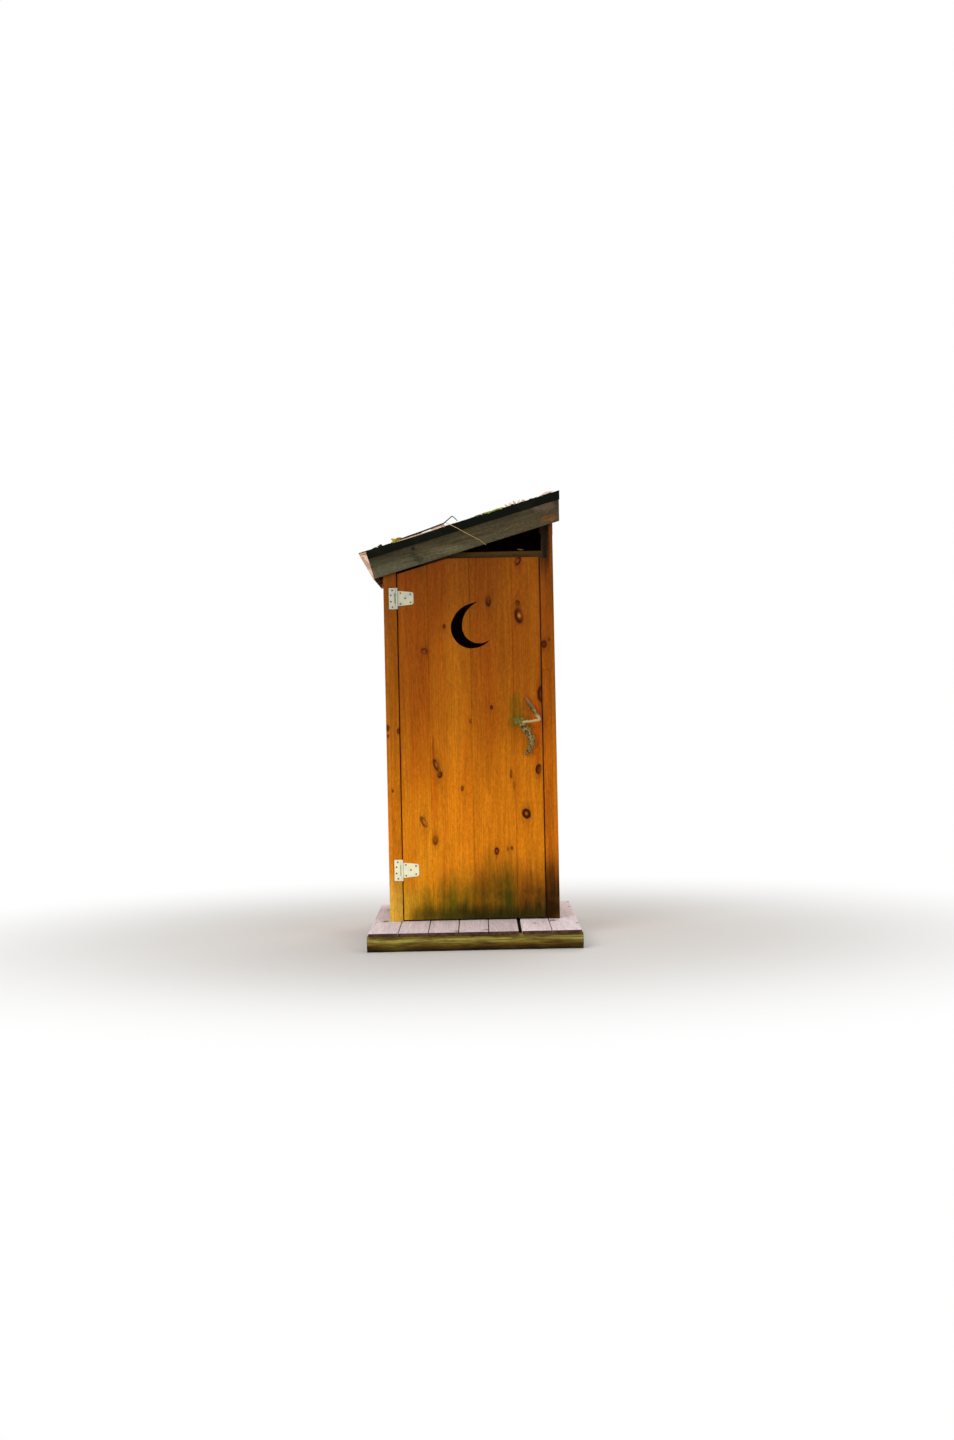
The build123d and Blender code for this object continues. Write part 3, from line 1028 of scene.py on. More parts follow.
    @staticmethod
    def number(piece: bpy.types.Object, number: float) -> None:
        """Gives a whole mesh its number."""
        layer = piece.data.attributes.new(PIECE_NUMBER, "FLOAT", "POINT")
        layer.data.foreach_set("value", [number] * len(piece.data.vertices))

    def join(self, name: str, pieces: Sequence[bpy.types.Object]) -> bpy.types.Object:
        """Makes one piece of several."""
        self.pick(*pieces)
        bpy.ops.object.join()
        joined = bpy.context.object
        joined.name = name
        return joined

    def smooth(self, piece: bpy.types.Object, degrees: float = 35.0) -> None:
        """Shades round faces smooth and keeps sharp edges."""
        self.pick(piece)
        bpy.ops.object.shade_smooth_by_angle(angle=math.radians(degrees))

    def limb(self, name: str, spots: Sequence[tuple[Vector, float]], detail: int) -> bpy.types.Object:
        """A branch or twig with a closed skin.

        Args:
            name: The piece's name.
            spots: The places along it, each with its radius there.
            detail: How many times its skin is made finer.

        Returns:
            The piece.
        """
        first = spots[0][0]
        bpy.ops.mesh.primitive_plane_add(size=0.001, location=first)
        piece = bpy.context.object
        piece.name = name
        self.settle(piece)
        with self.editing(piece):
            bpy.ops.mesh.select_mode(type="VERT")
            bpy.ops.mesh.merge(type="CENTER")
            for (before, _), (after, _) in zip(spots, spots[1:]):
                bpy.ops.mesh.extrude_region_move(TRANSFORM_OT_translate={"value": after - before})
        modifier = piece.modifiers.new("skin", "SKIN")
        modifier.use_smooth_shade = True
        skin = piece.data.skin_vertices[0].data
        for vertex, point in zip(piece.data.vertices, skin):
            nearest = min(spots, key=lambda spot: (spot[0] - vertex.co).length)
            point.radius = (nearest[1], nearest[1])
        self.pick(piece)
        bpy.ops.object.modifier_apply(modifier="skin")
        self.modify(piece, "SUBSURF", levels=detail, render_levels=detail)
        return piece

    def hand_over(
        self, piece: bpy.types.Object, body: str, slot: str, finish: Finish, *nodes: str
    ) -> None:
        """Gives a finished piece its material and its body, and reports it.

        Args:
            piece: The finished piece.
            body: The body that it moves with.
            slot: The record's finish, which is not used.
            finish: What it is made of.
            nodes: The solids that it stands for.
        """
        if PIECE_NUMBER not in piece.data.attributes:
            self.number(piece, 0.5)
        piece.data.materials.clear()
        piece.data.materials.append(finish.build())
        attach(piece, body)
        if nodes:
            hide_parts(*nodes)
        self.count += 1
        self.log.info("%s: %d faces on %s", piece.name, len(piece.data.polygons), body)


def upright(start: Vector, end: Vector) -> bool:
    """Says whether an edge runs straight up."""
    run = end - start
    return abs(run.z) > 0.9 * run.length and run.length > 0.01


@dataclass
class SleeperLogs:
    """Three hewn logs that carry the deck.

    Attributes:
        facets: How many faces go round a log.
        rings: How many rows of faces there are along it.
        large_radius: The radius at its left end.
        small_radius: The radius at its right end.
        roughness: How uneven its sides are.
        bump_size: The size of their bumps.
        calm_depth: How far from the flats the sides are all uneven.
        margin: How much of the ends and the flats stays plain.
    """

    shop: Workshop
    facets: int = 56
    rings: int = 110
    large_radius: float = 0.049
    small_radius: float = 0.045
    roughness: float = 0.005
    bump_size: float = 0.07
    calm_depth: float = 0.012
    margin: float = 0.002

    def build(self) -> None:
        """Makes the logs and dresses them."""
        for node in ("front_sleeper_log", "middle_sleeper_log", "rear_sleeper_log"):
            finish = LogBark(f"{node}_bark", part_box(node)[1].x)
            self.shop.hand_over(self.log(node), "hut", "log_bark", finish, node)

    def log(self, node: str) -> bpy.types.Object:
        """One log, flat above and below, with uneven sides."""
        low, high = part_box(node)
        bpy.ops.mesh.primitive_cone_add(
            vertices=self.facets,
            radius1=self.large_radius,
            radius2=self.small_radius,
            depth=high.x - low.x,
            location=(low + high) / 2,
            rotation=(0, math.pi / 2, 0),
        )
        log = bpy.context.object
        log.name = f"{node}_hewn"
        self.shop.settle(log)
        self.shop.split(log, 0, self.rings)
        self.flatten(log, high.z, 1)
        self.flatten(log, low.z, -1)
        sides = log.vertex_groups.new(name="sides")
        for vertex in log.data.vertices:
            depth = min(vertex.co.z - low.z, high.z - vertex.co.z)
            if abs(vertex.co.x) < high.x - self.margin and depth > self.margin:
                sides.add([vertex.index], min(depth / self.calm_depth, 1.0), "REPLACE")
        self.shop.roughen(log, self.bump_size, self.roughness, "sides", 3)
        self.shop.smooth(log, 40)
        return log

    def flatten(self, log: bpy.types.Object, level: float, way: int) -> None:
        """Presses all that lies beyond a level flat onto it, from above (1) or from below (-1)."""

        def beyond(start: Vector, end: Vector) -> bool:
            """Says whether both ends of an edge lie beyond the level."""
            return min(way * (start.z - level), way * (end.z - level)) > -1e-6

        with self.shop.editing(log, beyond):
            bpy.ops.transform.resize(value=(1, 1, 0), center_override=(0, 0, level))


@dataclass
class Deck:
    """Seven loose-laid boards, nailed to the logs.

    Attributes:
        board_width: The width of a board.
        gaps: The gaps between the boards, from the left.
        edge: How far the upper edges are worn round.
        length_play: How unevenly the boards end.
        nail_inset: How far the nails stand from a board's sides.
        nail_play: How far they are off their rows, across and along the boards.
        nail_radius: The radius of a nail's head.
    """

    shop: Workshop
    board_width: float = 0.150
    gaps: tuple[float, ...] = (0.005, 0.005, 0.005, 0.005, 0.019, 0.005)
    edge: float = 0.003
    length_play: float = 0.004
    nail_inset: float = 0.026
    nail_play: tuple[float, float] = (0.004, 0.012)
    nail_radius: float = 0.0034

    def spans(self) -> list[tuple[float, float]]:
        """The left and right side of each board, from the left."""
        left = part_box("deck_boards")[0].x
        spans = []
        for gap in (*self.gaps, 0.0):
            spans.append((left, left + self.board_width))
            left += self.board_width + gap
        return spans

    def build(self) -> None:
        """Makes the boards and their nails."""
        low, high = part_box("deck_boards")
        chance = random.Random(7)
        boards = []
        for left, right in self.spans():
            front = low.y + chance.uniform(0, self.length_play)
            rear = high.y - chance.uniform(0, self.length_play)
            corners = Vector((left, front, low.z)), Vector((right, rear, high.z))
            board = self.shop.block("deck_board", *corners)
            top = high.z - TOLERANCE
            self.shop.ease(board, self.edge, 3, lambda start, end: min(start.z, end.z) > top)
            self.shop.number(board, chance.random())
            boards.append(board)
        deck = self.shop.join("deck_boards_laid", boards)
        self.shop.smooth(deck)
        self.shop.hand_over(deck, "hut", "deck_grey", DECK_PLANK, "deck_boards")

        logs = [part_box(f"{place}_sleeper_log") for place in ("front", "middle")]
        play_x, play_y = self.nail_play
        spots = [
            Vector((x + chance.uniform(-play_x, play_x), y + chance.uniform(-play_y, play_y), high.z))
            for left, right in self.spans()
            for x in (left + self.nail_inset, right - self.nail_inset)
            for y in [(front.y + rear.y) / 2 for front, rear in logs]
        ]
        nails = NailHeads(self.shop, self.nail_radius).on(spots, UP, "deck_nails", 11)
        self.shop.hand_over(nails, "hut", "hinge_steel", RUSTY_NAIL)


@dataclass
class NailHeads:
    """Round nail heads, driven almost flush.

    Attributes:
        radius: The radius of a head.
        height: How far it stands out.
        facets: How many sides a head has.
        rounding: How much of its height is rounded off.
        steps: In how many steps.
        smooth_angle: Up to what angle in degrees its faces are shaded smooth, or 0 for flat ones.
    """

    shop: Workshop
    radius: float = 0.0028
    height: float = 0.0008
    facets: int = 10
    rounding: float = 0.6
    steps: int = 1
    smooth_angle: float = 0.0

    def model(self) -> bpy.types.Object:
        """One head that looks up."""
        bpy.ops.mesh.primitive_cylinder_add(
            vertices=self.facets, radius=self.radius, depth=self.height * 2, location=(0, 0, 0)
        )
        head = bpy.context.object
        width = self.height * self.rounding
        self.shop.ease(head, width, self.steps, lambda start, end: min(start.z, end.z) > 0)
        return head

    def seat(self, turn: Matrix, out: Vector, chance: random.Random) -> Matrix:
        """How one head sits: turned to look out, and driven in by more or less."""
        return Matrix.Translation(out * chance.uniform(-0.4, 0.0) * self.height) @ turn

    def on(self, spots: Sequence[Vector], out: Vector, name: str, seed: int) -> bpy.types.Object:
        """Heads at these places, all facing one way.

        Args:
            spots: The places, on the face of the wood or the plate.
            out: The way out of it.
            name: The name of the joined piece.
            seed: What sets their small differences.

        Returns:
            One piece.
        """
        head = self.model()
        turn = UP.rotation_difference(out).to_matrix().to_4x4()
        chance = random.Random(seed)
        heads = []
        for spot in spots:
            place = Matrix.Translation(spot) @ self.seat(turn, out, chance)
            heads.append(self.shop.twin(head, place))
            self.shop.number(heads[-1], chance.random())
        bpy.data.objects.remove(head)
        joined = self.shop.join(name, heads)
        if self.smooth_angle:
            self.shop.smooth(joined, self.smooth_angle)
        return joined


@dataclass
class Screws(NailHeads):
    """Pan-head screws with a round recess in the middle.

    Attributes:
        recess_rim: How much of the radius stays round the recess.
        recess_depth: How deep the recess is, as a share of the height.
    """

    radius: float = 0.0042
    height: float = 0.0012
    facets: int = 16
    rounding: float = 0.7
    steps: int = 2
    smooth_angle: float = 50.0
    recess_rim: float = 0.32
    recess_depth: float = 0.8

    def model(self) -> bpy.types.Object:
        """One head that looks up, with the driver's socket sunk into it."""
        head = super().model()
        level = self.height - 1e-6
        drop = (0, 0, -self.height * self.recess_depth)
        with self.shop.editing(head, lambda start, end: min(start.z, end.z) > level):
            bpy.ops.mesh.select_mode(type="FACE")
            bpy.ops.mesh.inset(thickness=self.radius * self.recess_rim)
            bpy.ops.mesh.extrude_region_move(TRANSFORM_OT_translate={"value": drop})
        return head

    def seat(self, turn: Matrix, out: Vector, chance: random.Random) -> Matrix:
        """How one head sits: turned to look out, and screwed to any angle."""
        return turn @ Matrix.Rotation(chance.uniform(0, math.tau), 4, "Z")


@dataclass
class BoardWalls:
    """The side and rear walls of upright boards with a vee at each joint.

    Attributes:
        board: The width of a board's face.
        vee: How deep a joint's vee is.
        spare: How much longer than it needs a board is at an end that is sawn to the roof's slope.
        narrow: Up to what width a board has one nail and not two beside each other.
        nail_inset: How far the nails stand from a board's sides.
        sill_nails: How high over a board's foot the lower nails are.
        plate_nails: How far under a side wall's top the upper nails are.
        rafter_nails: How far under the roof's face the rear wall's upper nails are.
        rafter_margin: How near a rafter a joint may be in the boards between the rafters.
    """

    shop: Workshop
    board: float = 0.140
    vee: float = 0.003
    spare: float = 0.4
    narrow: float = 0.1
    nail_inset: float = 0.035
    sill_nails: float = 0.030
    plate_nails: float = 0.045
    rafter_nails: float = 0.075
    rafter_margin: float = 0.012

    def joints(self, first: float, last: float) -> list[float]:
        """The places of the joints between two ends of a wall."""
        count = int((last - first) / self.board)
        places = [first + self.board * number for number in range(1, count + 1)]
        return [place for place in places if last - place > self.vee * 4]

    def faces(self, first: float, last: float) -> list[tuple[float, float]]:
        """The two sides of each board between two ends of a wall."""
        ends = [first, *self.joints(first, last), last]
        return list(zip(ends, ends[1:]))

    def nail_places(self, first: float, last: float) -> list[float]:
        """Where nails stand across each board between two ends of a wall."""
        places = []
        for start, end in self.faces(first, last):
            wide = end - start > self.narrow
            places += (start + self.nail_inset, end - self.nail_inset) if wide else ((start + end) / 2,)
        return places

    def build(self) -> None:
        """Makes all walls and the short boards between the rafters."""
        for side, out in (("left", -1), ("right", 1)):
            self.side_wall(side, out)
        self.rear_wall()
        self.nails()

    def planks(
        self,
        spans: Sequence[tuple[Vector, Vector]],
        depths: tuple[float, float | None],
        out: Vector,
        seed: int,
    ) -> list[bpy.types.Object]:
        """Boards that stand side by side under the roof.

        Args:
            spans: Each board's corners, with more length than it needs at its top.
            depths: How deep under the roof's face the boards end at their tops and at their feet.
            out: The way out of the wall, on whose side the vees are.
            seed: What sets the differences between boards.

        Returns:
            The boards.
        """
        chance = random.Random(seed)
        top, foot = depths
        boards = []
        for low, high in spans:
            board = self.shop.block("plank", low, high)
            face = max(low.dot(out), high.dot(out)) - TOLERANCE

            def outer(start: Vector, end: Vector, face: float = face) -> bool:
                """Says whether an edge stands upright on the outer face."""
                return upright(start, end) and min(start.dot(out), end.dot(out)) > face

            self.shop.ease(board, self.vee, 1, outer)
            self.shop.saw(board, ROOF.point(0, 0, top), ROOF.normal)
            if foot is not None:
                self.shop.saw(board, ROOF.point(0, 0, foot), -ROOF.normal)
            self.shop.number(board, chance.random())
            boards.append(board)
        return boards

    def side_wall(self, side: str, out: int) -> None:
        """One side wall with the short boards over it."""
        low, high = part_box(f"{side}_wall")
        way = Vector((out, 0, 0))
        spans = [
            (Vector((low.x, front, low.z)), Vector((high.x, rear, high.z + self.spare)))
            for front, rear in self.faces(low.y, high.y)
        ]
        boards = self.planks(spans, (WALL_TOP_DEPTH, None), way, 20 + out)
        wall = self.shop.join(f"{side}_wall_boards", boards)
        finish = stained_pine(
            f"{side}_wall_pine",
            Grain.UP_SIDE,
            loose_knots=0.32,
            growths=SIDE_GROWTHS + ((LEFT_FOOT,) if out < 0 else (RIGHT_FOOT,)),
            # On the right wall, the last front smudge is painted shade at the top of its front edge.
            smudges=LEFT_EDGE_KNOTS if out < 0 else FRONT_SMUDGES_AND_PAINTED_SHADE[-1:],
            offset=2.0 + out,
        )
        self.shop.hand_over(wall, "hut", "stained_pine", finish, f"{side}_wall")

        short = []
        rafters = [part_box(f"{place}_rafter") for place in ("front", "middle", "rear")]
        for number, (front_rafter, rear_rafter) in enumerate(zip(rafters, rafters[1:])):
            front = front_rafter[1].y
            rear = rear_rafter[0].y
            margin = self.rafter_margin
            joints = [spot for spot in self.joints(low.y, high.y) if front + margin < spot < rear - margin]
            ends = [front, *joints, rear]
            spans = [
                (Vector((low.x, start, high.z - self.spare)), Vector((high.x, end, high.z + self.spare)))
                for start, end in zip(ends, ends[1:])
            ]
            short += self.planks(spans, (RAFTER_TOP_DEPTH, WALL_TOP_DEPTH), way, 30 + out + number * 5)
        frieze = self.shop.join(f"{side}_frieze_planks", short)
        self.shop.hand_over(frieze, "hut", "stained_pine", finish, f"{side}_frieze_boards")

    def rear_wall(self) -> None:
        """The rear wall."""
        low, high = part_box("rear_wall")
        spans = [
            (Vector((left, low.y, low.z)), Vector((right, high.y, high.z + self.spare)))
            for left, right in self.faces(low.x, high.x)
        ]
        boards = self.planks(spans, (RAFTER_TOP_DEPTH, None), Vector((0, 1, 0)), 41)
        wall = self.shop.join("rear_wall_boards", boards)
        finish = stained_pine("rear_wall_pine", loose_knots=0.32, growths=SIDE_GROWTHS, offset=5.0)
        self.shop.hand_over(wall, "hut", "stained_pine", finish, "rear_wall")

    def nails(self) -> None:
        """Two nails through each board into the sill and into the plate or the rafter over it."""
        plans = []
        for side, out in (("left", -1), ("right", 1)):
            low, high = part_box(f"{side}_wall")
            face = low.x if out < 0 else high.x
            plate = ROOF.height(face) - (WALL_TOP_DEPTH / math.cos(ROOF_PITCH)) - self.plate_nails
            spots = [
                Vector((face, y, z))
                for y in self.nail_places(low.y, high.y)
                for z in (low.z + self.sill_nails, plate)
            ]
            plans.append((side, spots, Vector((out, 0, 0)), 50 + out))
        low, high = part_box("rear_wall")
        spots = [
            Vector((x, high.y, z))
            for x in self.nail_places(low.x, high.x)
            for z in (low.z + self.sill_nails, ROOF.height(x) - self.rafter_nails)
        ]
        plans.append(("rear", spots, Vector((0, 1, 0)), 53))
        for side, spots, out, seed in plans:
            heads = NailHeads(self.shop).on(spots, out, f"{side}_wall_nails", seed)
            self.shop.hand_over(heads, "hut", "hinge_steel", WALL_NAIL)


@dataclass
class Doorway:
    """The trim boards beside the door, the header over it and the strip that it shuts against.

    Attributes:
        edge: How far the boards' edges are eased.
    """

    shop: Workshop
    edge: float = 0.0015

    def build(self) -> None:
        """Makes the trims, the header and the strip."""
        left_knots = (Knot(-0.390, 1.026, 0.010, 0.014, 0.7), Knot(-0.429, 0.704, 0.006, 0.008, 0.7))
        right_knots = (Knot(0.400, 1.476, 0.015, 0.020, 0.95), Knot(0.428, 1.500, 0.007, 0.008, 0.5))
        right_growths = FRONT_GROWTHS[6:7] + (RIGHT_FOOT,)
        trims = (
            ("left_trim", left_knots, (LEFT_FOOT,), 0.86),
            ("right_trim_lower", (), right_growths, 0.95),
            ("right_trim_upper", right_knots, right_growths, 0.98),
        )
        for number, (node, knots, growths, tone) in enumerate(trims):
            board = self.shop.copy_node(node, self.edge)
            self.shop.smooth(board)
            finish = stained_pine(
                f"{node}_pine",
                knots=knots,
                growths=growths,
                smudges=FRONT_SMUDGES_AND_PAINTED_SHADE,
                offset=3.1 + number * 1.7,
                tone=tone,
            )
            self.shop.hand_over(board, "hut", "stained_pine", finish, node)
        header = self.shop.copy_node("door_header", self.edge)
        shaded = ((0.0, paint(72, 50, 18)), (1.0, paint(66, 47, 19)))
        finish = stained_pine("door_header_pine", Grain.ACROSS, offset=9.2, colours=shaded)
        self.shop.hand_over(header, "hut", "stained_pine", finish, "door_header")
        stop = self.shop.copy_node("door_stop", self.edge)
        finish = frame_pine("door_stop_pine", Grain.UP_FRONT, offset=4.4)
        self.shop.hand_over(stop, "hut", "frame_pine", finish, "door_stop")


@dataclass
class InnerFrame:
    """Posts, sills, plates and rafters, which show from inside and under the eaves.

    Attributes:
        edge: How far the timbers' edges are eased.
    """

    shop: Workshop
    edge: float = 0.002

    def build(self) -> None:
        """Eases and dresses each timber."""
        plans = (
            (Grain.UP_FRONT, ("front_left_post", "front_right_post", "rear_left_post", "rear_right_post")),
            (Grain.BACK, ("left_sill", "right_sill")),
            (Grain.BACK, ("left_top_plate", "right_top_plate")),
            (Grain.ACROSS, ("rear_sill",)),
            (Grain.SLOPE, ("front_rafter", "middle_rafter", "rear_rafter")),
        )
        for number, (grain, nodes) in enumerate(plans):
            name = f"frame_pine_{number + 1}"
            # The last front smudge is painted shade on the top of the front right post.
            finish = frame_pine(name, grain, offset=float(number), smudges=FRONT_SMUDGES_AND_PAINTED_SHADE[-1:])
            for node in nodes:
                timber = self.shop.copy_node(node, self.edge)
                self.shop.hand_over(timber, "hut", "frame_pine", finish, node)


@dataclass
class Roof:
    """The roof boards, the weathered boards round them and the black sheet over them.

    Attributes:
        edge: How far the weathered boards' edges are eased.
        board_edge: How far the roof boards' lower edges are eased.
        boards: How many roof boards there are.
        fold: How tightly the sheet turns down at the edges.
        eave_end: How far down the slope from the hut's middle the roof boards end.
        marks: Dark marks on the board over the door.
    """

    shop: Workshop
    edge: float = 0.0025
    board_edge: float = 0.0015
    boards: int = 7
    fold: float = 0.0028
    eave_end: float = 0.6074
    marks: tuple[Smudge, ...] = (
        Smudge(-0.293, 2.003, 0.016, 0.013, paint(22, 24, 10), 0.95),
        Smudge(-0.288, 1.966, 0.030, 0.020, paint(50, 50, 34), 0.7),
        Smudge(-0.262, 1.944, 0.032, 0.020, paint(48, 47, 32), 0.7),
        Smudge(-0.10, 1.995, 0.16, 0.030, paint(112, 104, 78), 0.35),
        Smudge(0.40, 2.22, 0.08, 0.035, paint(122, 98, 84), 0.5),
        Smudge(0.455, 2.262, 0.020, 0.020, paint(48, 22, 14), 0.8),
        Smudge(0.440, 2.150, 0.050, 0.022, paint(140, 84, 38), 0.5),
    )

    def build(self) -> None:
        """Makes the roof's boards and sheet."""
        plans = (
            ("front_rake_board", Grain.SLOPE, 0.0, (0.0, 1.0, 0.0)),
            ("rear_rake_board", Grain.SLOPE, 2.0, (0.0, -1.0, 0.0)),
            ("eave_fascia", Grain.BACK, 4.0, tuple(ROOF.along)),
            ("high_fascia", Grain.BACK, 6.0, (-1.0, 0.0, 0.0)),
        )
        for node, grain, offset, sheltered in plans:
            board = self.shop.copy_node(node, self.edge)
            self.shop.smooth(board)
            traits = {"offset": offset, "fresh_side": sheltered, "figure": 0.7, "smudges": self.marks}
            finish = weathered_board(f"{node}_grey", grain, **traits)
            self.shop.hand_over(board, "hut", "weathered_board", finish, node)
        self.roof_boards()
        sheet = self.shop.copy_node("roofing", self.fold / 2)
        self.shop.smooth(sheet, 50)
        self.shop.hand_over(sheet, "hut", "roofing_felt", RoofingFelt("bitumen_sheet"), "roofing")

    def roof_boards(self) -> None:
        """Boards side by side from front to back, seen from under the eaves."""
        low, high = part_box("roof_deck")
        start = low.x / math.cos(ROOF_PITCH) - 0.05
        width = (high.y - low.y) / self.boards
        underside = TOLERANCE - RAFTER_TOP_DEPTH
        chance = random.Random(61)
        boards = []
        for number in range(self.boards):
            front = low.y + width * number
            foot = Vector((start, front, -RAFTER_TOP_DEPTH))
            head = Vector((high.x * 1.2, front + width, -ROOFING_THICKNESS))
            board = self.shop.block("roof_board", foot, head)
            self.shop.ease(
                board, self.board_edge, 1, lambda a, b: abs((b - a).x) > 0.5 and max(a.z, b.z) < underside
            )
            board.rotation_euler = (0, -ROOF_PITCH, 0)
            board.location = (0, 0, ROOF.middle)
            self.shop.settle(board)
            self.shop.saw(board, Vector((high.x, 0, 0)), Vector((1, 0, 0)))
            self.shop.saw(board, ROOF.point(-self.eave_end, 0, ROOFING_THICKNESS), -ROOF.along)
            self.shop.number(board, chance.random())
            boards.append(board)
        deck = self.shop.join("roof_boards", boards)
        # Pale fresh pine, made this pale partly as painted light for the sunlit underside of the eaves.
        colours = ((0.0, paint(206, 168, 136)), (1.0, paint(200, 160, 128)))
        finish = frame_pine("roof_board_pine", Grain.SLOPE, offset=8.0, colours=colours)
        self.shop.hand_over(deck, "hut", "frame_pine", finish, "roof_deck")


@dataclass
class Door:
    """The board door: four face boards with the crescent sawn through two of them.

    Attributes:
        vee: How deep the joints' vees are.
        batten_edge: How far the edges of the battens and the brace are eased.
        roof_clearance: The gap between the door's clipped corner and the board over it.
        rake_foot_depth: How deep under the roof's face that board reaches.
        screw_places: The screws in each board at a batten: their share of its width, and how far they
            stand over the batten's middle.
        screw_margin: How near a batten's ends a screw may be.
        crescent_back: The crescent's outer curve, right of the door's middle and over the deck, from its
            upper to its lower horn.
        crescent_hollow: Its inner curve, from the lower horn back up.
    """

    shop: Workshop
    vee: float = 0.0025
    batten_edge: float = 0.003
    roof_clearance: float = 0.012
    rake_foot_depth: float = 0.156
    screw_places: tuple[tuple[float, float], ...] = ((0.25, 0.024), (0.75, -0.024))
    screw_margin: float = 0.012
    crescent_back: tuple[tuple[float, float], ...] = (
        (0.052, 1.712),
        (0.013, 1.704),
        (-0.041, 1.679),
        (-0.085, 1.626),
        (-0.099, 1.579),
        (-0.082, 1.516),
        (-0.030, 1.470),
        (0.020, 1.462),
        (0.074, 1.477),
        (0.113, 1.506),
    )
    crescent_hollow: tuple[tuple[float, float], ...] = (
        (0.062, 1.489),
        (0.005, 1.503),
        (-0.030, 1.544),
        (-0.037, 1.590),
        (-0.022, 1.646),
        (0.014, 1.689),
    )

    def knots(self) -> dict[str, tuple[Knot, ...]]:
        """The knots of each face board."""
        return {
            "door_board_1": (
                Knot(-0.245, 1.450, 0.019, 0.019, 0.62, 0.2, 70),
                Knot(-0.263, 0.533, 0.016, 0.034, 0.62, 0.9, 150, 30),
            ),
            "door_board_2": (
                Knot(-0.135, 1.583, 0.008, 0.011, 0.85),
                Knot(-0.192, 0.840, 0.015, 0.034, 0.8, 0.6, 165, 20),
                Knot(-0.175, 0.788, 0.015, 0.020, 0.92, 0.0, -40),
                Knot(-0.054, 0.710, 0.009, 0.014, 0.6),
                Knot(-0.205, 0.435, 0.014, 0.026, 0.6, 0.3, -80),
                Knot(-0.002, 1.071, 0.009, 0.011, 0.4),
            ),
            "door_board_3": (
                Knot(0.106, 1.716, 0.015, 0.030, 0.95, 0.0, -85),
                Knot(0.111, 1.143, 0.008, 0.012, 0.9),
                Knot(0.124, 0.369, 0.012, 0.020, 0.85, 0.35),
                Knot(0.206, 0.384, 0.007, 0.010, 0.65),
                Knot(0.184, 0.378, 0.007, 0.010, 0.4),
                Knot(0.209, 0.782, 0.007, 0.024, 0.55),
                Knot(0.224, 0.722, 0.005, 0.024, 0.45),
            ),
            "door_board_4": (
                Knot(0.267, 1.926, 0.015, 0.026, 0.95, 0.25, 20, -28),
                Knot(0.269, 1.634, 0.024, 0.040, 1.0, 0.85, 200, 8),
                Knot(0.262, 1.698, 0.012, 0.018, 0.75, 0.0, 80),
                Knot(0.384, 1.210, 0.023, 0.046, 0.95, 0.25, 180),
                Knot(0.359, 0.804, 0.017, 0.027, 1.0, 0.0, 150),
                Knot(0.288, 0.567, 0.023, 0.026, 1.0, 0.55, None, 15),
            ),
        }

    @staticmethod
    def patches() -> dict[str, tuple[Smudge, ...]]:
        """The broad patches of colour that end at a face board's joints."""
        return {
            "door_board_1": (Smudge(-0.310, 1.40, 0.12, 0.55, paint(146, 64, 6), 0.3),),
            "door_board_2": (Smudge(-0.095, 1.22, 0.13, 0.48, paint(186, 112, 16), 0.3),),
            "door_board_3": (Smudge(0.075, 1.20, 0.09, 0.50, paint(150, 68, 6), 0.3),),
            "door_board_4": (),
        }

    def build(self) -> None:
        """Makes the face boards, the battens and the brace."""
        cutter = self.crescent()
        tones = (0.96, 1.04, 0.98, 0.99)
        depth = self.rake_foot_depth + self.roof_clearance * math.cos(ROOF_PITCH)
        for number, (node, knots) in enumerate(self.knots().items()):
            low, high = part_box(node)
            board = self.shop.block(f"{node}_planed", low, high)
            face = low.y + TOLERANCE
            self.shop.ease(board, self.vee, 1, lambda a, b: upright(a, b) and max(a.y, b.y) < face)
            self.shop.saw(board, ROOF.point(0, 0, depth), ROOF.normal)
            if node in ("door_board_2", "door_board_3"):
                self.shop.modify(board, "BOOLEAN", operation="DIFFERENCE", solver="EXACT", object=cutter)
            finish = stained_pine(
                f"{node}_pine",
                knots=knots,
                growths=FRONT_GROWTHS,
                smudges=self.patches()[node] + FRONT_SMUDGES_AND_PAINTED_SHADE,
                offset=0.7 + number * 2.3,
                tone=tones[number],
            )
            self.shop.hand_over(board, "door", "stained_pine", finish, node)
        bpy.data.objects.remove(cutter)
        self.back()

    def crescent(self) -> bpy.types.Object:
        """The solid that is sawn out of the boards, drawn as a flat curve with two sharp horns."""
        spots = self.crescent_back + self.crescent_hollow
        curve = bpy.data.curves.new("crescent_cutter", "CURVE")
        curve.dimensions = "2D"
        curve.fill_mode = "BOTH"
        curve.extrude = 0.05
        spline = curve.splines.new("BEZIER")
        spline.bezier_points.add(len(spots) - 1)
        spline.use_cyclic_u = True
        horns = (0, len(self.crescent_back) - 1)
        for index, (point, (x, height)) in enumerate(zip(spline.bezier_points, spots)):
            point.co = (x, height, 0)
            kind = "VECTOR" if index in horns else "AUTO"
            point.handle_left_type = kind
            point.handle_right_type = kind
        cutter = bpy.data.objects.new("crescent_cutter", curve)
        bpy.context.scene.collection.objects.link(cutter)
        self.shop.pick(cutter)
        bpy.ops.object.convert(target="MESH")
        cutter.rotation_euler = (math.pi / 2, 0, 0)
        cutter.location = (0, DOOR_FACE, DECK_TOP)
        self.shop.settle(cutter)
        with self.shop.editing(cutter):
            bpy.ops.mesh.remove_doubles(threshold=MERGE_DISTANCE)
            bpy.ops.mesh.normals_make_consistent(inside=False)
        return cutter

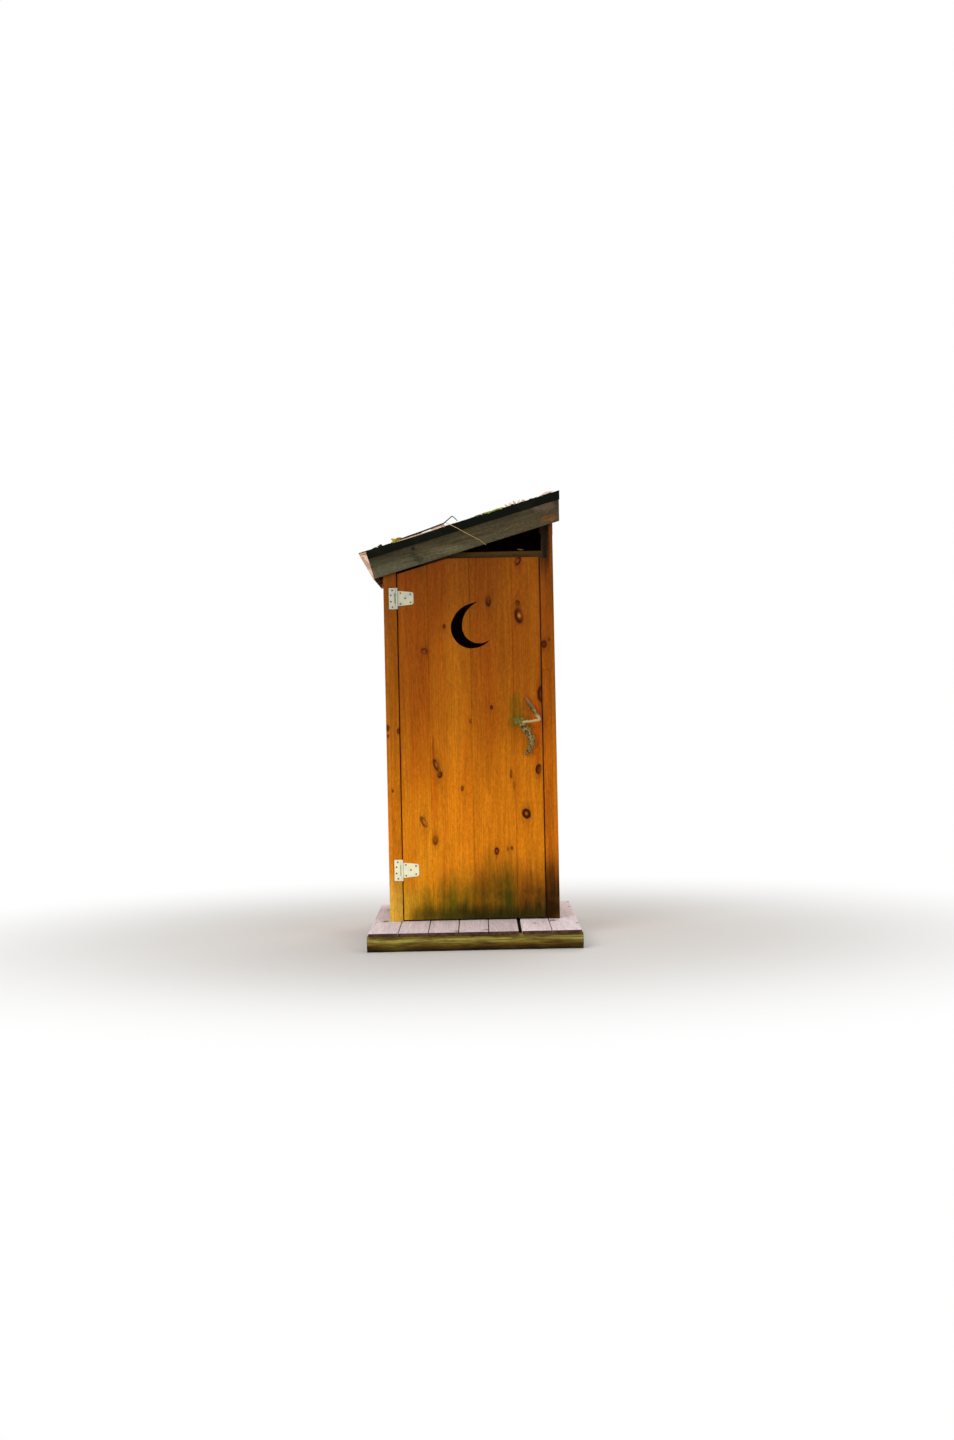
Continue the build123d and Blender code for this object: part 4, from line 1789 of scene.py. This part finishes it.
    def back(self) -> None:
        """The battens and the brace on the inside, with their screws."""
        for node, grain, offset in (
            ("upper_batten", Grain.ACROSS, 1.0),
            ("lower_batten", Grain.ACROSS, 2.0),
            ("diagonal_brace", Grain.BRACE, 3.0),
        ):
            board = self.shop.copy_node(node, self.batten_edge)
            self.shop.smooth(board)
            finish = stained_pine(f"{node}_pine", grain, offset=offset, loose_knots=0.25)
            self.shop.hand_over(board, "door", "stained_pine", finish, node)
        spots = []
        for node in ("upper_batten", "lower_batten"):
            low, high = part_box(node)
            middle = (low.z + high.z) / 2
            for board in self.knots():
                left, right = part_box(board)
                for share, level in self.screw_places:
                    x = left.x + (right.x - left.x) * share
                    if low.x + self.screw_margin < x < high.x - self.screw_margin:
                        spots.append(Vector((x, high.y, middle + level)))
        heads = Screws(self.shop).on(spots, Vector((0, 1, 0)), "batten_screws", 71)
        self.shop.hand_over(heads, "door", "hinge_steel", DARK_SCREW)


@dataclass
class Hinges:
    """Two surface hinges: a leaf on the trim, a tapered strap on the door and their screws.

    Attributes:
        barrel_radius: The radius of the barrel round the pin.
        plate: How thick the plates are.
        barrel_shadow_reach: How far left of the pin the painted shadow beside the barrel is.
        screw_radius: The radius of a screw's head.
        leaf_screws: The leaf's screws, right of and over the hinge's middle.
        strap_screws: The strap's screws.
    """

    shop: Workshop
    barrel_radius: float = 0.006
    plate: float = 0.0025
    barrel_shadow_reach: float = 0.009
    screw_radius: float = 0.0043
    leaf_screws: tuple[tuple[float, float], ...] = (
        (-0.024, 0.044),
        (-0.031, 0.018),
        (-0.031, -0.016),
        (-0.023, -0.045),
    )
    strap_screws: tuple[tuple[float, float], ...] = (
        (0.020, 0.029),
        (0.020, -0.029),
        (0.046, 0.001),
        (0.074, 0.022),
        (0.074, -0.022),
    )

    def build(self) -> None:
        """Makes both hinges."""
        # The third colour of each hinge is its painted shadow beside the barrel.
        tones = {
            "upper": (paint(190, 184, 150), paint(160, 170, 170), paint(58, 60, 54)),
            "lower": (paint(240, 234, 196), paint(222, 226, 200), paint(168, 178, 150)),
        }
        parts = (("leaf", "hut", self.leaf_screws), ("strap", "door", self.strap_screws))
        for name, colours in tones.items():
            low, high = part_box(f"{name}_hinge_leaf")
            middle = (low.z + high.z) / 2
            pin = Vector((high.x - self.barrel_radius, DOOR_FACE - self.plate, middle))
            finish = ZincPlate(f"{name}_hinge_zinc", *colours, (pin.x - self.barrel_shadow_reach, pin.z))
            for part, body, places in parts:
                node = f"{name}_hinge_{part}"
                plate = self.shop.copy_node(node)
                self.shop.smooth(plate)
                self.shop.hand_over(plate, body, "hinge_steel", finish, node)
                spots = [pin + Vector((x, 0, z)) for x, z in places]
                screws = Screws(self.shop, self.screw_radius)
                heads = screws.on(spots, Vector((0, -1, 0)), f"{node}_screws", 80)
                self.shop.hand_over(heads, body, "hinge_steel", DARK_SCREW)


@dataclass
class BranchHandle:
    """A crooked branch that serves as the door's handle, with moss at its elbow.

    Attributes:
        thick_top: The height over the deck up to which the branch is thick.
        spots: Each place right of the door's middle, out from its face and over the deck, with the
            branch's radius there, from the foot up.
        moss_balls: The balls that the moss is made of, each given by its place and its radius.
    """

    shop: Workshop
    thick_top: float = 1.052
    spots: tuple[tuple[float, float, float, float], ...] = (
        (0.290, 0.004, 0.884, 0.0075),
        (0.303, 0.020, 0.903, 0.0130),
        (0.320, 0.036, 0.929, 0.0170),
        (0.326, 0.045, 0.955, 0.0205),
        (0.317, 0.049, 0.986, 0.0215),
        (0.297, 0.050, 1.013, 0.0205),
        (0.279, 0.049, 1.038, 0.0180),
        (0.262, 0.048, 1.058, 0.0145),
        (0.290, 0.049, 1.062, 0.0085),
        (0.317, 0.050, 1.064, 0.0072),
        (0.345, 0.048, 1.067, 0.0078),
        (0.369, 0.046, 1.072, 0.0100),
        (0.352, 0.039, 1.100, 0.0116),
        (0.330, 0.030, 1.132, 0.0125),
        (0.311, 0.019, 1.166, 0.0112),
        (0.297, 0.006, 1.199, 0.0092),
    )
    moss_balls: tuple[tuple[float, float, float, float], ...] = (
        (0.252, 0.050, 1.072, 0.015),
        (0.262, 0.058, 1.062, 0.012),
        (0.274, 0.050, 1.074, 0.011),
        (0.244, 0.047, 1.060, 0.012),
        (0.236, 0.046, 1.074, 0.009),
        (0.288, 0.049, 1.072, 0.007),
    )

    def build(self) -> None:
        """Makes the branch and its moss."""
        path = [(self.at(x, out, height), radius) for x, out, height, radius in self.spots]
        branch = self.shop.limb("branch_handle_grown", path, 3)
        self.shop.roughen(branch, 0.014, 0.0060, depth=3)
        self.shop.saw(branch, Vector((0, DOOR_FACE, 0)), Vector((0, 1, 0)))
        finish = BranchWood("branch_bare", DECK_TOP + self.thick_top)
        self.shop.hand_over(branch, "door", "branch_wood", finish, "branch_handle")
        self.moss()

    @staticmethod
    def at(x: float, out: float, height: float) -> Vector:
        """A place by the door's middle, its face and the deck."""
        return Vector((x, DOOR_FACE - out, DECK_TOP + height))

    def moss(self) -> None:
        """A clump of moss round the upper elbow."""
        blobs = []
        for number, (x, out, height, size) in enumerate(self.moss_balls):
            place = self.at(x, out, height)
            bpy.ops.mesh.primitive_ico_sphere_add(subdivisions=4, radius=size, location=place)
            blob = bpy.context.object
            self.shop.settle(blob)
            self.shop.number(blob, number / (len(self.moss_balls) - 1))
            blobs.append(blob)
        clump = self.shop.join("branch_moss", blobs)
        self.shop.roughen(clump, 0.007, 0.007, depth=3)
        self.shop.smooth(clump, 180)
        colours = (paint(106, 100, 40), paint(128, 116, 56), paint(96, 86, 36))
        self.shop.hand_over(clump, "door", "branch_wood", Speckled("elbow_moss", colours, 0.9, 400.0))


@dataclass
class RoofLitter:
    """What has fallen on the roof: needles, leaves, moss, straws and one forked twig.

    Attributes:
        needles: How many needles there are.
        leaves: How many leaves there are.
        cushions: How many cushions of moss there are.
        edge_cushions: How many of them grow along the front edge.
        margin: How far from the roof's edges leaves and moss lie.
        needle_margin: How far from them needles lie.
        brink: How far back the sheet's front edge is.
        edge_finds: The leaves at the front edge: their place along the hut and behind the brink, how far
            they stand over the sheet, their size, lean and tone, and how steeply they rise, in degrees.
    """

    shop: Workshop
    needles: int = 1100
    leaves: int = 90
    cushions: int = 70
    edge_cushions: int = 34
    margin: float = 0.03
    needle_margin: float = 0.02
    brink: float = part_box("roofing")[0].y
    edge_finds: tuple[tuple[float, ...], ...] = (
        (-0.392, 0.008, 0.009, 1.1, 0.4, 0.0, 66),
        (-0.374, 0.003, 0.006, 0.9, -0.5, 0.25, 66),
        (-0.362, 0.010, 0.006, 1.0, 0.1, 0.0, 50),
        (-0.158, 0.004, 0.008, 1.2, -0.4, 1.0, 66),
        (-0.134, 0.003, 0.007, 1.0, 0.2, 0.75, 66),
        (-0.178, 0.004, 0.006, 1.0, -0.2, 1.0, 66),
        (0.212, 0.004, 0.006, 0.6, 0.5, 0.75, 66),
        (0.232, 0.004, 0.006, 0.7, -0.9, 1.0, 66),
        (0.256, 0.005, 0.007, 0.6, 0.9, 0.75, 66),
        (0.280, 0.004, 0.006, 0.7, -1.1, 1.0, 66),
        (0.305, 0.005, 0.005, 0.5, 0.2, 0.75, 66),
        (0.434, 0.010, 0.001, 1.5, -0.29, 1.0, 25),
        (0.404, 0.007, 0.001, 0.9, -0.27, 1.0, 30),
    )

    def build(self) -> None:
        """Makes all the litter."""
        self.moss_cushions()
        self.fallen_leaves()
        self.fallen_needles()
        self.twig()
        self.edge_leaves()

    @staticmethod
    def somewhere(chance: random.Random, edge: float) -> tuple[float, float]:
        """A random place along and across the roof, more often near the front edge."""
        low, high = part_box("roofing")
        ends = ((low.x + edge) / math.cos(ROOF_PITCH), (high.x - edge) / math.cos(ROOF_PITCH) - 0.02)
        along = chance.uniform(*ends)
        share = chance.random() ** 1.5 if chance.random() < 0.7 else chance.random()
        return along, low.y + edge + share * (high.y - low.y - edge * 2)

    @staticmethod
    def lay(along: float, y: float, lift: float, tilt: float, chance: random.Random) -> Matrix:
        """How a thing lies on the slope: turned at random and tilted a little."""
        spot = ROOF.point(along, y, -lift)
        slope = Matrix.Rotation(-ROOF_PITCH, 4, "Y")
        turn = Matrix.Rotation(chance.uniform(0, math.tau), 4, "Z")
        lean = Matrix.Rotation(chance.uniform(-tilt, tilt), 4, "X")
        return Matrix.Translation(spot) @ slope @ turn @ lean

    def scatter(
        self,
        name: str,
        models: Sequence[bpy.types.Object],
        places: Sequence[Matrix],
        chance: random.Random,
    ) -> bpy.types.Object:
        """Joins copies of some models at many places into one piece."""
        copies = []
        for place in places:
            scale = Matrix.Scale(chance.uniform(0.7, 1.25), 4)
            copies.append(self.shop.twin(chance.choice(models), place @ scale))
            self.shop.number(copies[-1], chance.random())
        for model in models:
            bpy.data.objects.remove(model)
        return self.shop.join(name, copies)

    def cushion_model(self, number: int) -> bpy.types.Object:
        """One low cushion, in one of three shapes."""
        bpy.ops.mesh.primitive_ico_sphere_add(subdivisions=3, radius=0.012, location=(0, 0, 0))
        model = bpy.context.object
        model.name = f"cushion_{number}"
        model.scale = (1.3, 0.9, 0.42)
        self.shop.settle(model)
        self.shop.roughen(model, 0.008 + number * 0.002, 0.007, depth=2)
        return model

    def moss_cushions(self) -> None:
        """Low green cushions, thickest along the front edge."""
        chance = random.Random(91)
        models = [self.cushion_model(number) for number in range(3)]
        places = []
        for number in range(self.cushions):
            along, y = self.somewhere(chance, self.margin)
            if number < self.edge_cushions:
                along = chance.choice((chance.uniform(0.04, 0.20), chance.uniform(0.04, 0.20), -0.41))
                y = self.brink + 0.012 + chance.uniform(-0.006, 0.004)
            places.append(self.lay(along, y, 0.0, 0.1, chance))
        moss = self.scatter("roof_moss", models, places, chance)
        self.shop.smooth(moss, 180)
        colours = (paint(116, 122, 44), paint(190, 190, 84), paint(92, 96, 40), paint(214, 210, 118))
        self.shop.hand_over(moss, "hut", "branch_wood", Speckled("roof_moss", colours, 0.9, 400.0))

    def leaf_model(self, number: int) -> bpy.types.Object:
        """One curled leaf, in one of three shapes."""
        radius = 0.016
        bpy.ops.mesh.primitive_circle_add(
            vertices=14, radius=radius, fill_type="TRIFAN", location=(0, 0, 0)
        )
        model = bpy.context.object
        model.name = f"leaf_{number}"
        for vertex in model.data.vertices:
            x, y = vertex.co.x, vertex.co.y
            narrow = 0.62 * (1 - 0.35 * abs(x) / radius)
            curl = (x * x * 14.0 + y * y * (10.0 + number * 12.0)) * (1 + number * 0.3)
            vertex.co = Vector((x * (1.15 + 0.15 * number), y * narrow, curl))
        self.shop.modify(model, "SOLIDIFY", thickness=0.0005)
        return model

    def fallen_leaves(self) -> None:
        """Curled leaves, yellow, tan and brown."""
        chance = random.Random(92)
        models = [self.leaf_model(number) for number in range(3)]
        places = []
        for _ in range(self.leaves):
            along, y = self.somewhere(chance, self.margin)
            places.append(self.lay(along, y, 0.0012, 0.25, chance))
        leaves = self.scatter("roof_leaves", models, places, chance)
        colours = (
            paint(150, 112, 34),
            paint(112, 72, 36),
            paint(176, 132, 72),
            paint(132, 84, 30),
            paint(190, 160, 60),
        )
        self.shop.hand_over(leaves, "hut", "branch_wood", Speckled("fallen_leaf", colours, 0.6))

    def fallen_needles(self) -> None:
        """Straight brown needles in loose drifts."""
        chance = random.Random(93)
        bpy.ops.mesh.primitive_cylinder_add(
            vertices=3, radius=0.0006, depth=0.020, location=(0, 0, 0), rotation=(0, math.pi / 2, 0)
        )
        model = bpy.context.object
        model.name = "needle"
        self.shop.settle(model)
        places = []
        for _ in range(self.needles):
            along, y = self.somewhere(chance, self.needle_margin)
            places.append(self.lay(along, y, chance.uniform(0.0006, 0.003), 0.08, chance))
        needles = self.scatter("roof_needles", [model], places, chance)
        colours = (paint(120, 78, 40), paint(156, 112, 58), paint(92, 62, 36), paint(176, 146, 92))
        self.shop.hand_over(needles, "hut", "branch_wood", Speckled("fallen_needle", colours))

    def twig(self) -> None:
        """A dead twig along the front edge with its fork standing up, and two straws beside it.

        Each place is given along the hut, behind the brink and over the ground, with the radius there.
        """
        stem = (
            (-0.372, 0.008, 2.148, 0.0040),
            (-0.310, 0.006, 2.169, 0.0054),
            (-0.254, 0.005, 2.187, 0.0050),
            (-0.205, 0.003, 2.204, 0.0046),
            (-0.163, 0.000, 2.219, 0.0042),
            (-0.122, -0.003, 2.234, 0.0035),
            (-0.096, -0.001, 2.257, 0.0031),
            (-0.079, 0.004, 2.272, 0.0029),
            (-0.064, 0.002, 2.259, 0.0026),
            (-0.050, 0.000, 2.243, 0.0022),
        )
        straw = (
            (-0.122, -0.003, 2.241, 0.0018),
            (-0.054, -0.004, 2.206, 0.0016),
            (0.015, -0.004, 2.167, 0.0013),
            (0.068, -0.003, 2.138, 0.0011),
            (0.100, -0.002, 2.112, 0.0009),
        )
        edge_straw = (
            (-0.380, 0.001, 2.1400, 0.0022),
            (-0.270, -0.001, 2.1720, 0.0028),
            (-0.155, 0.001, 2.2070, 0.0026),
        )
        parts = []
        for number, spots in enumerate((stem, straw, edge_straw)):
            path = [(Vector((x, self.brink + back, z)), radius) for x, back, z, radius in spots]
            parts.append(self.shop.limb(f"twig_{number}", path, 2))
            self.shop.number(parts[-1], number * 0.5)
        twig = self.shop.join("roof_twig", parts)
        colours = (paint(48, 37, 24), paint(196, 164, 104), paint(206, 182, 150))
        self.shop.hand_over(twig, "hut", "branch_wood", Speckled("dead_twig", colours))

    def edge_leaves(self) -> None:
        """The larger leaves that stand at the front edge, and one that has blown in over the door."""
        low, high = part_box("door_header")
        x = 0.283
        blown_in = (x, low.y + 0.010 - self.brink, high.z - ROOF.height(x) + 0.007, 0.85, 0.12, 0.25, 26)
        pieces = []
        for number, (x, back, lift, size, lean, tone, rise) in enumerate((*self.edge_finds, blown_in)):
            leaf = self.leaf_model(number % 3)
            flat = Matrix.Diagonal((size, size, size * 0.4, 1.0))
            stand = Matrix.Rotation(math.radians(rise), 4, "X") @ flat
            spot = Matrix.Translation((x, self.brink + back, ROOF.height(x) + lift))
            leaf.data.transform(spot @ Matrix.Rotation(lean, 4, "Y") @ stand)
            self.shop.number(leaf, tone)
            pieces.append(leaf)
        joined = self.shop.join("edge_leaves", pieces)
        colours = (
            paint(196, 158, 34),
            # This colour is darker partly as painted shade for the leaf that lies over the door's header.
            paint(122, 106, 44),
            paint(190, 150, 100),
            paint(206, 164, 132),
            paint(232, 200, 184),
        )
        self.shop.hand_over(joined, "hut", "branch_wood", Speckled("edge_leaf", colours, 0.6))


@dataclass
class Studio:
    """The pale floor, the soft light and the camera.

    Attributes:
        camera_place: Where the camera stands.
        camera_dip: How far it looks down.
        camera_roll: How far it leans to the right.
        focal_length: Its focal length in millimetres, over a 36 mm long side.
        floor_radius: How far the floor reaches.
        ambient: The light from all sides.
        target: Where the lamps look.
        lamps: Each lamp's name, place, size and power.
    """

    camera_place: tuple[float, float, float] = (0.032, -10.937, 1.279)
    camera_dip: float = math.radians(0.553)
    camera_roll: float = math.radians(1.18)
    focal_length: float = 50.0
    floor_radius: float = 60.0
    ambient: float = 0.51
    target: tuple[float, float, float] = (0, 0, 1.1)
    lamps: tuple[tuple[str, tuple[float, float, float], float, float], ...] = (
        ("key_light", (-3.6, -6.0, 5.2), 4.0, 222.0),
        ("fill_light", (4.6, -5.0, 3.2), 4.0, 80.0),
        ("back_light", (1.5, 6.0, 5.0), 4.0, 200.0),
        ("ground_light", (-2.2, -4.6, 0.5), 0.8, 28.0),
    )

    def build(self) -> None:
        """Sets up floor, light and camera."""
        self.floor()
        self.world()
        for name, place, size, power in self.lamps:
            self.lamp(name, Vector(place), size, power)
        self.camera()
        bpy.context.scene.view_settings.view_transform = "Standard"

    def floor(self) -> None:
        """A wide round floor."""
        bpy.ops.mesh.primitive_circle_add(vertices=96, radius=self.floor_radius, fill_type="NGON")
        floor = bpy.context.object
        floor.name = "studio_floor"
        floor.data.materials.append(StudioFloor("studio_floor").build())

    def world(self) -> None:
        """White where it is seen or mirrored, and softer as a light."""
        world = bpy.data.worlds.new("studio_world")
        bpy.context.scene.world = world
        world.use_nodes = True
        graph = Graph(world.node_tree)
        path = graph.node("LightPath")
        camera, glossy, through = [
            Value(graph, path.outputs[f"Is {kind} Ray"]) for kind in ("Camera", "Glossy", "Transmission")
        ]
        seen = graph.math("MAXIMUM", graph.math("MAXIMUM", camera, glossy), through)
        soft = (self.ambient, self.ambient, self.ambient, 1.0)
        sky = graph.value("Background", None, {0: graph.mix(seen, soft, WHITE), 1: 1.0})
        graph.node("OutputWorld", None, {0: sky})

    def lamp(self, name: str, place: Vector, size: float, power: float) -> None:
        """A large soft lamp that looks at the hut."""
        bpy.ops.object.light_add(type="AREA", location=place)
        lamp = bpy.context.object
        lamp.name = name
        lamp.data.size = size
        lamp.data.energy = power
        lamp.rotation_euler = (Vector(self.target) - place).to_track_quat("-Z", "Y").to_euler()

    def camera(self) -> None:
        """The camera, at the place and with the lean that the picture was taken with."""
        bpy.ops.object.camera_add()
        camera = bpy.context.object
        camera.name = "studio_camera"
        camera.data.lens = self.focal_length
        camera.data.sensor_width = 36.0
        camera.data.clip_end = 200.0
        dip = Matrix.Rotation(math.pi / 2 - self.camera_dip, 4, "X")
        roll = Matrix.Rotation(-self.camera_roll, 4, "Z")
        camera.matrix_world = Matrix.Translation(self.camera_place) @ dip @ roll
        bpy.context.scene.camera = camera


def main() -> None:
    """Builds every sub-assembly in order."""
    logging.basicConfig(level=logging.INFO, format="%(name)s %(message)s")
    shop = Workshop()
    for assembly in (
        SleeperLogs(shop),
        Deck(shop),
        InnerFrame(shop),
        BoardWalls(shop),
        Doorway(shop),
        Roof(shop),
        Door(shop),
        Hinges(shop),
        BranchHandle(shop),
        RoofLitter(shop),
        Studio(),
    ):
        assembly.build()
    shop.log.info("%d pieces made", shop.count)


if __name__ == "__main__":
    main()
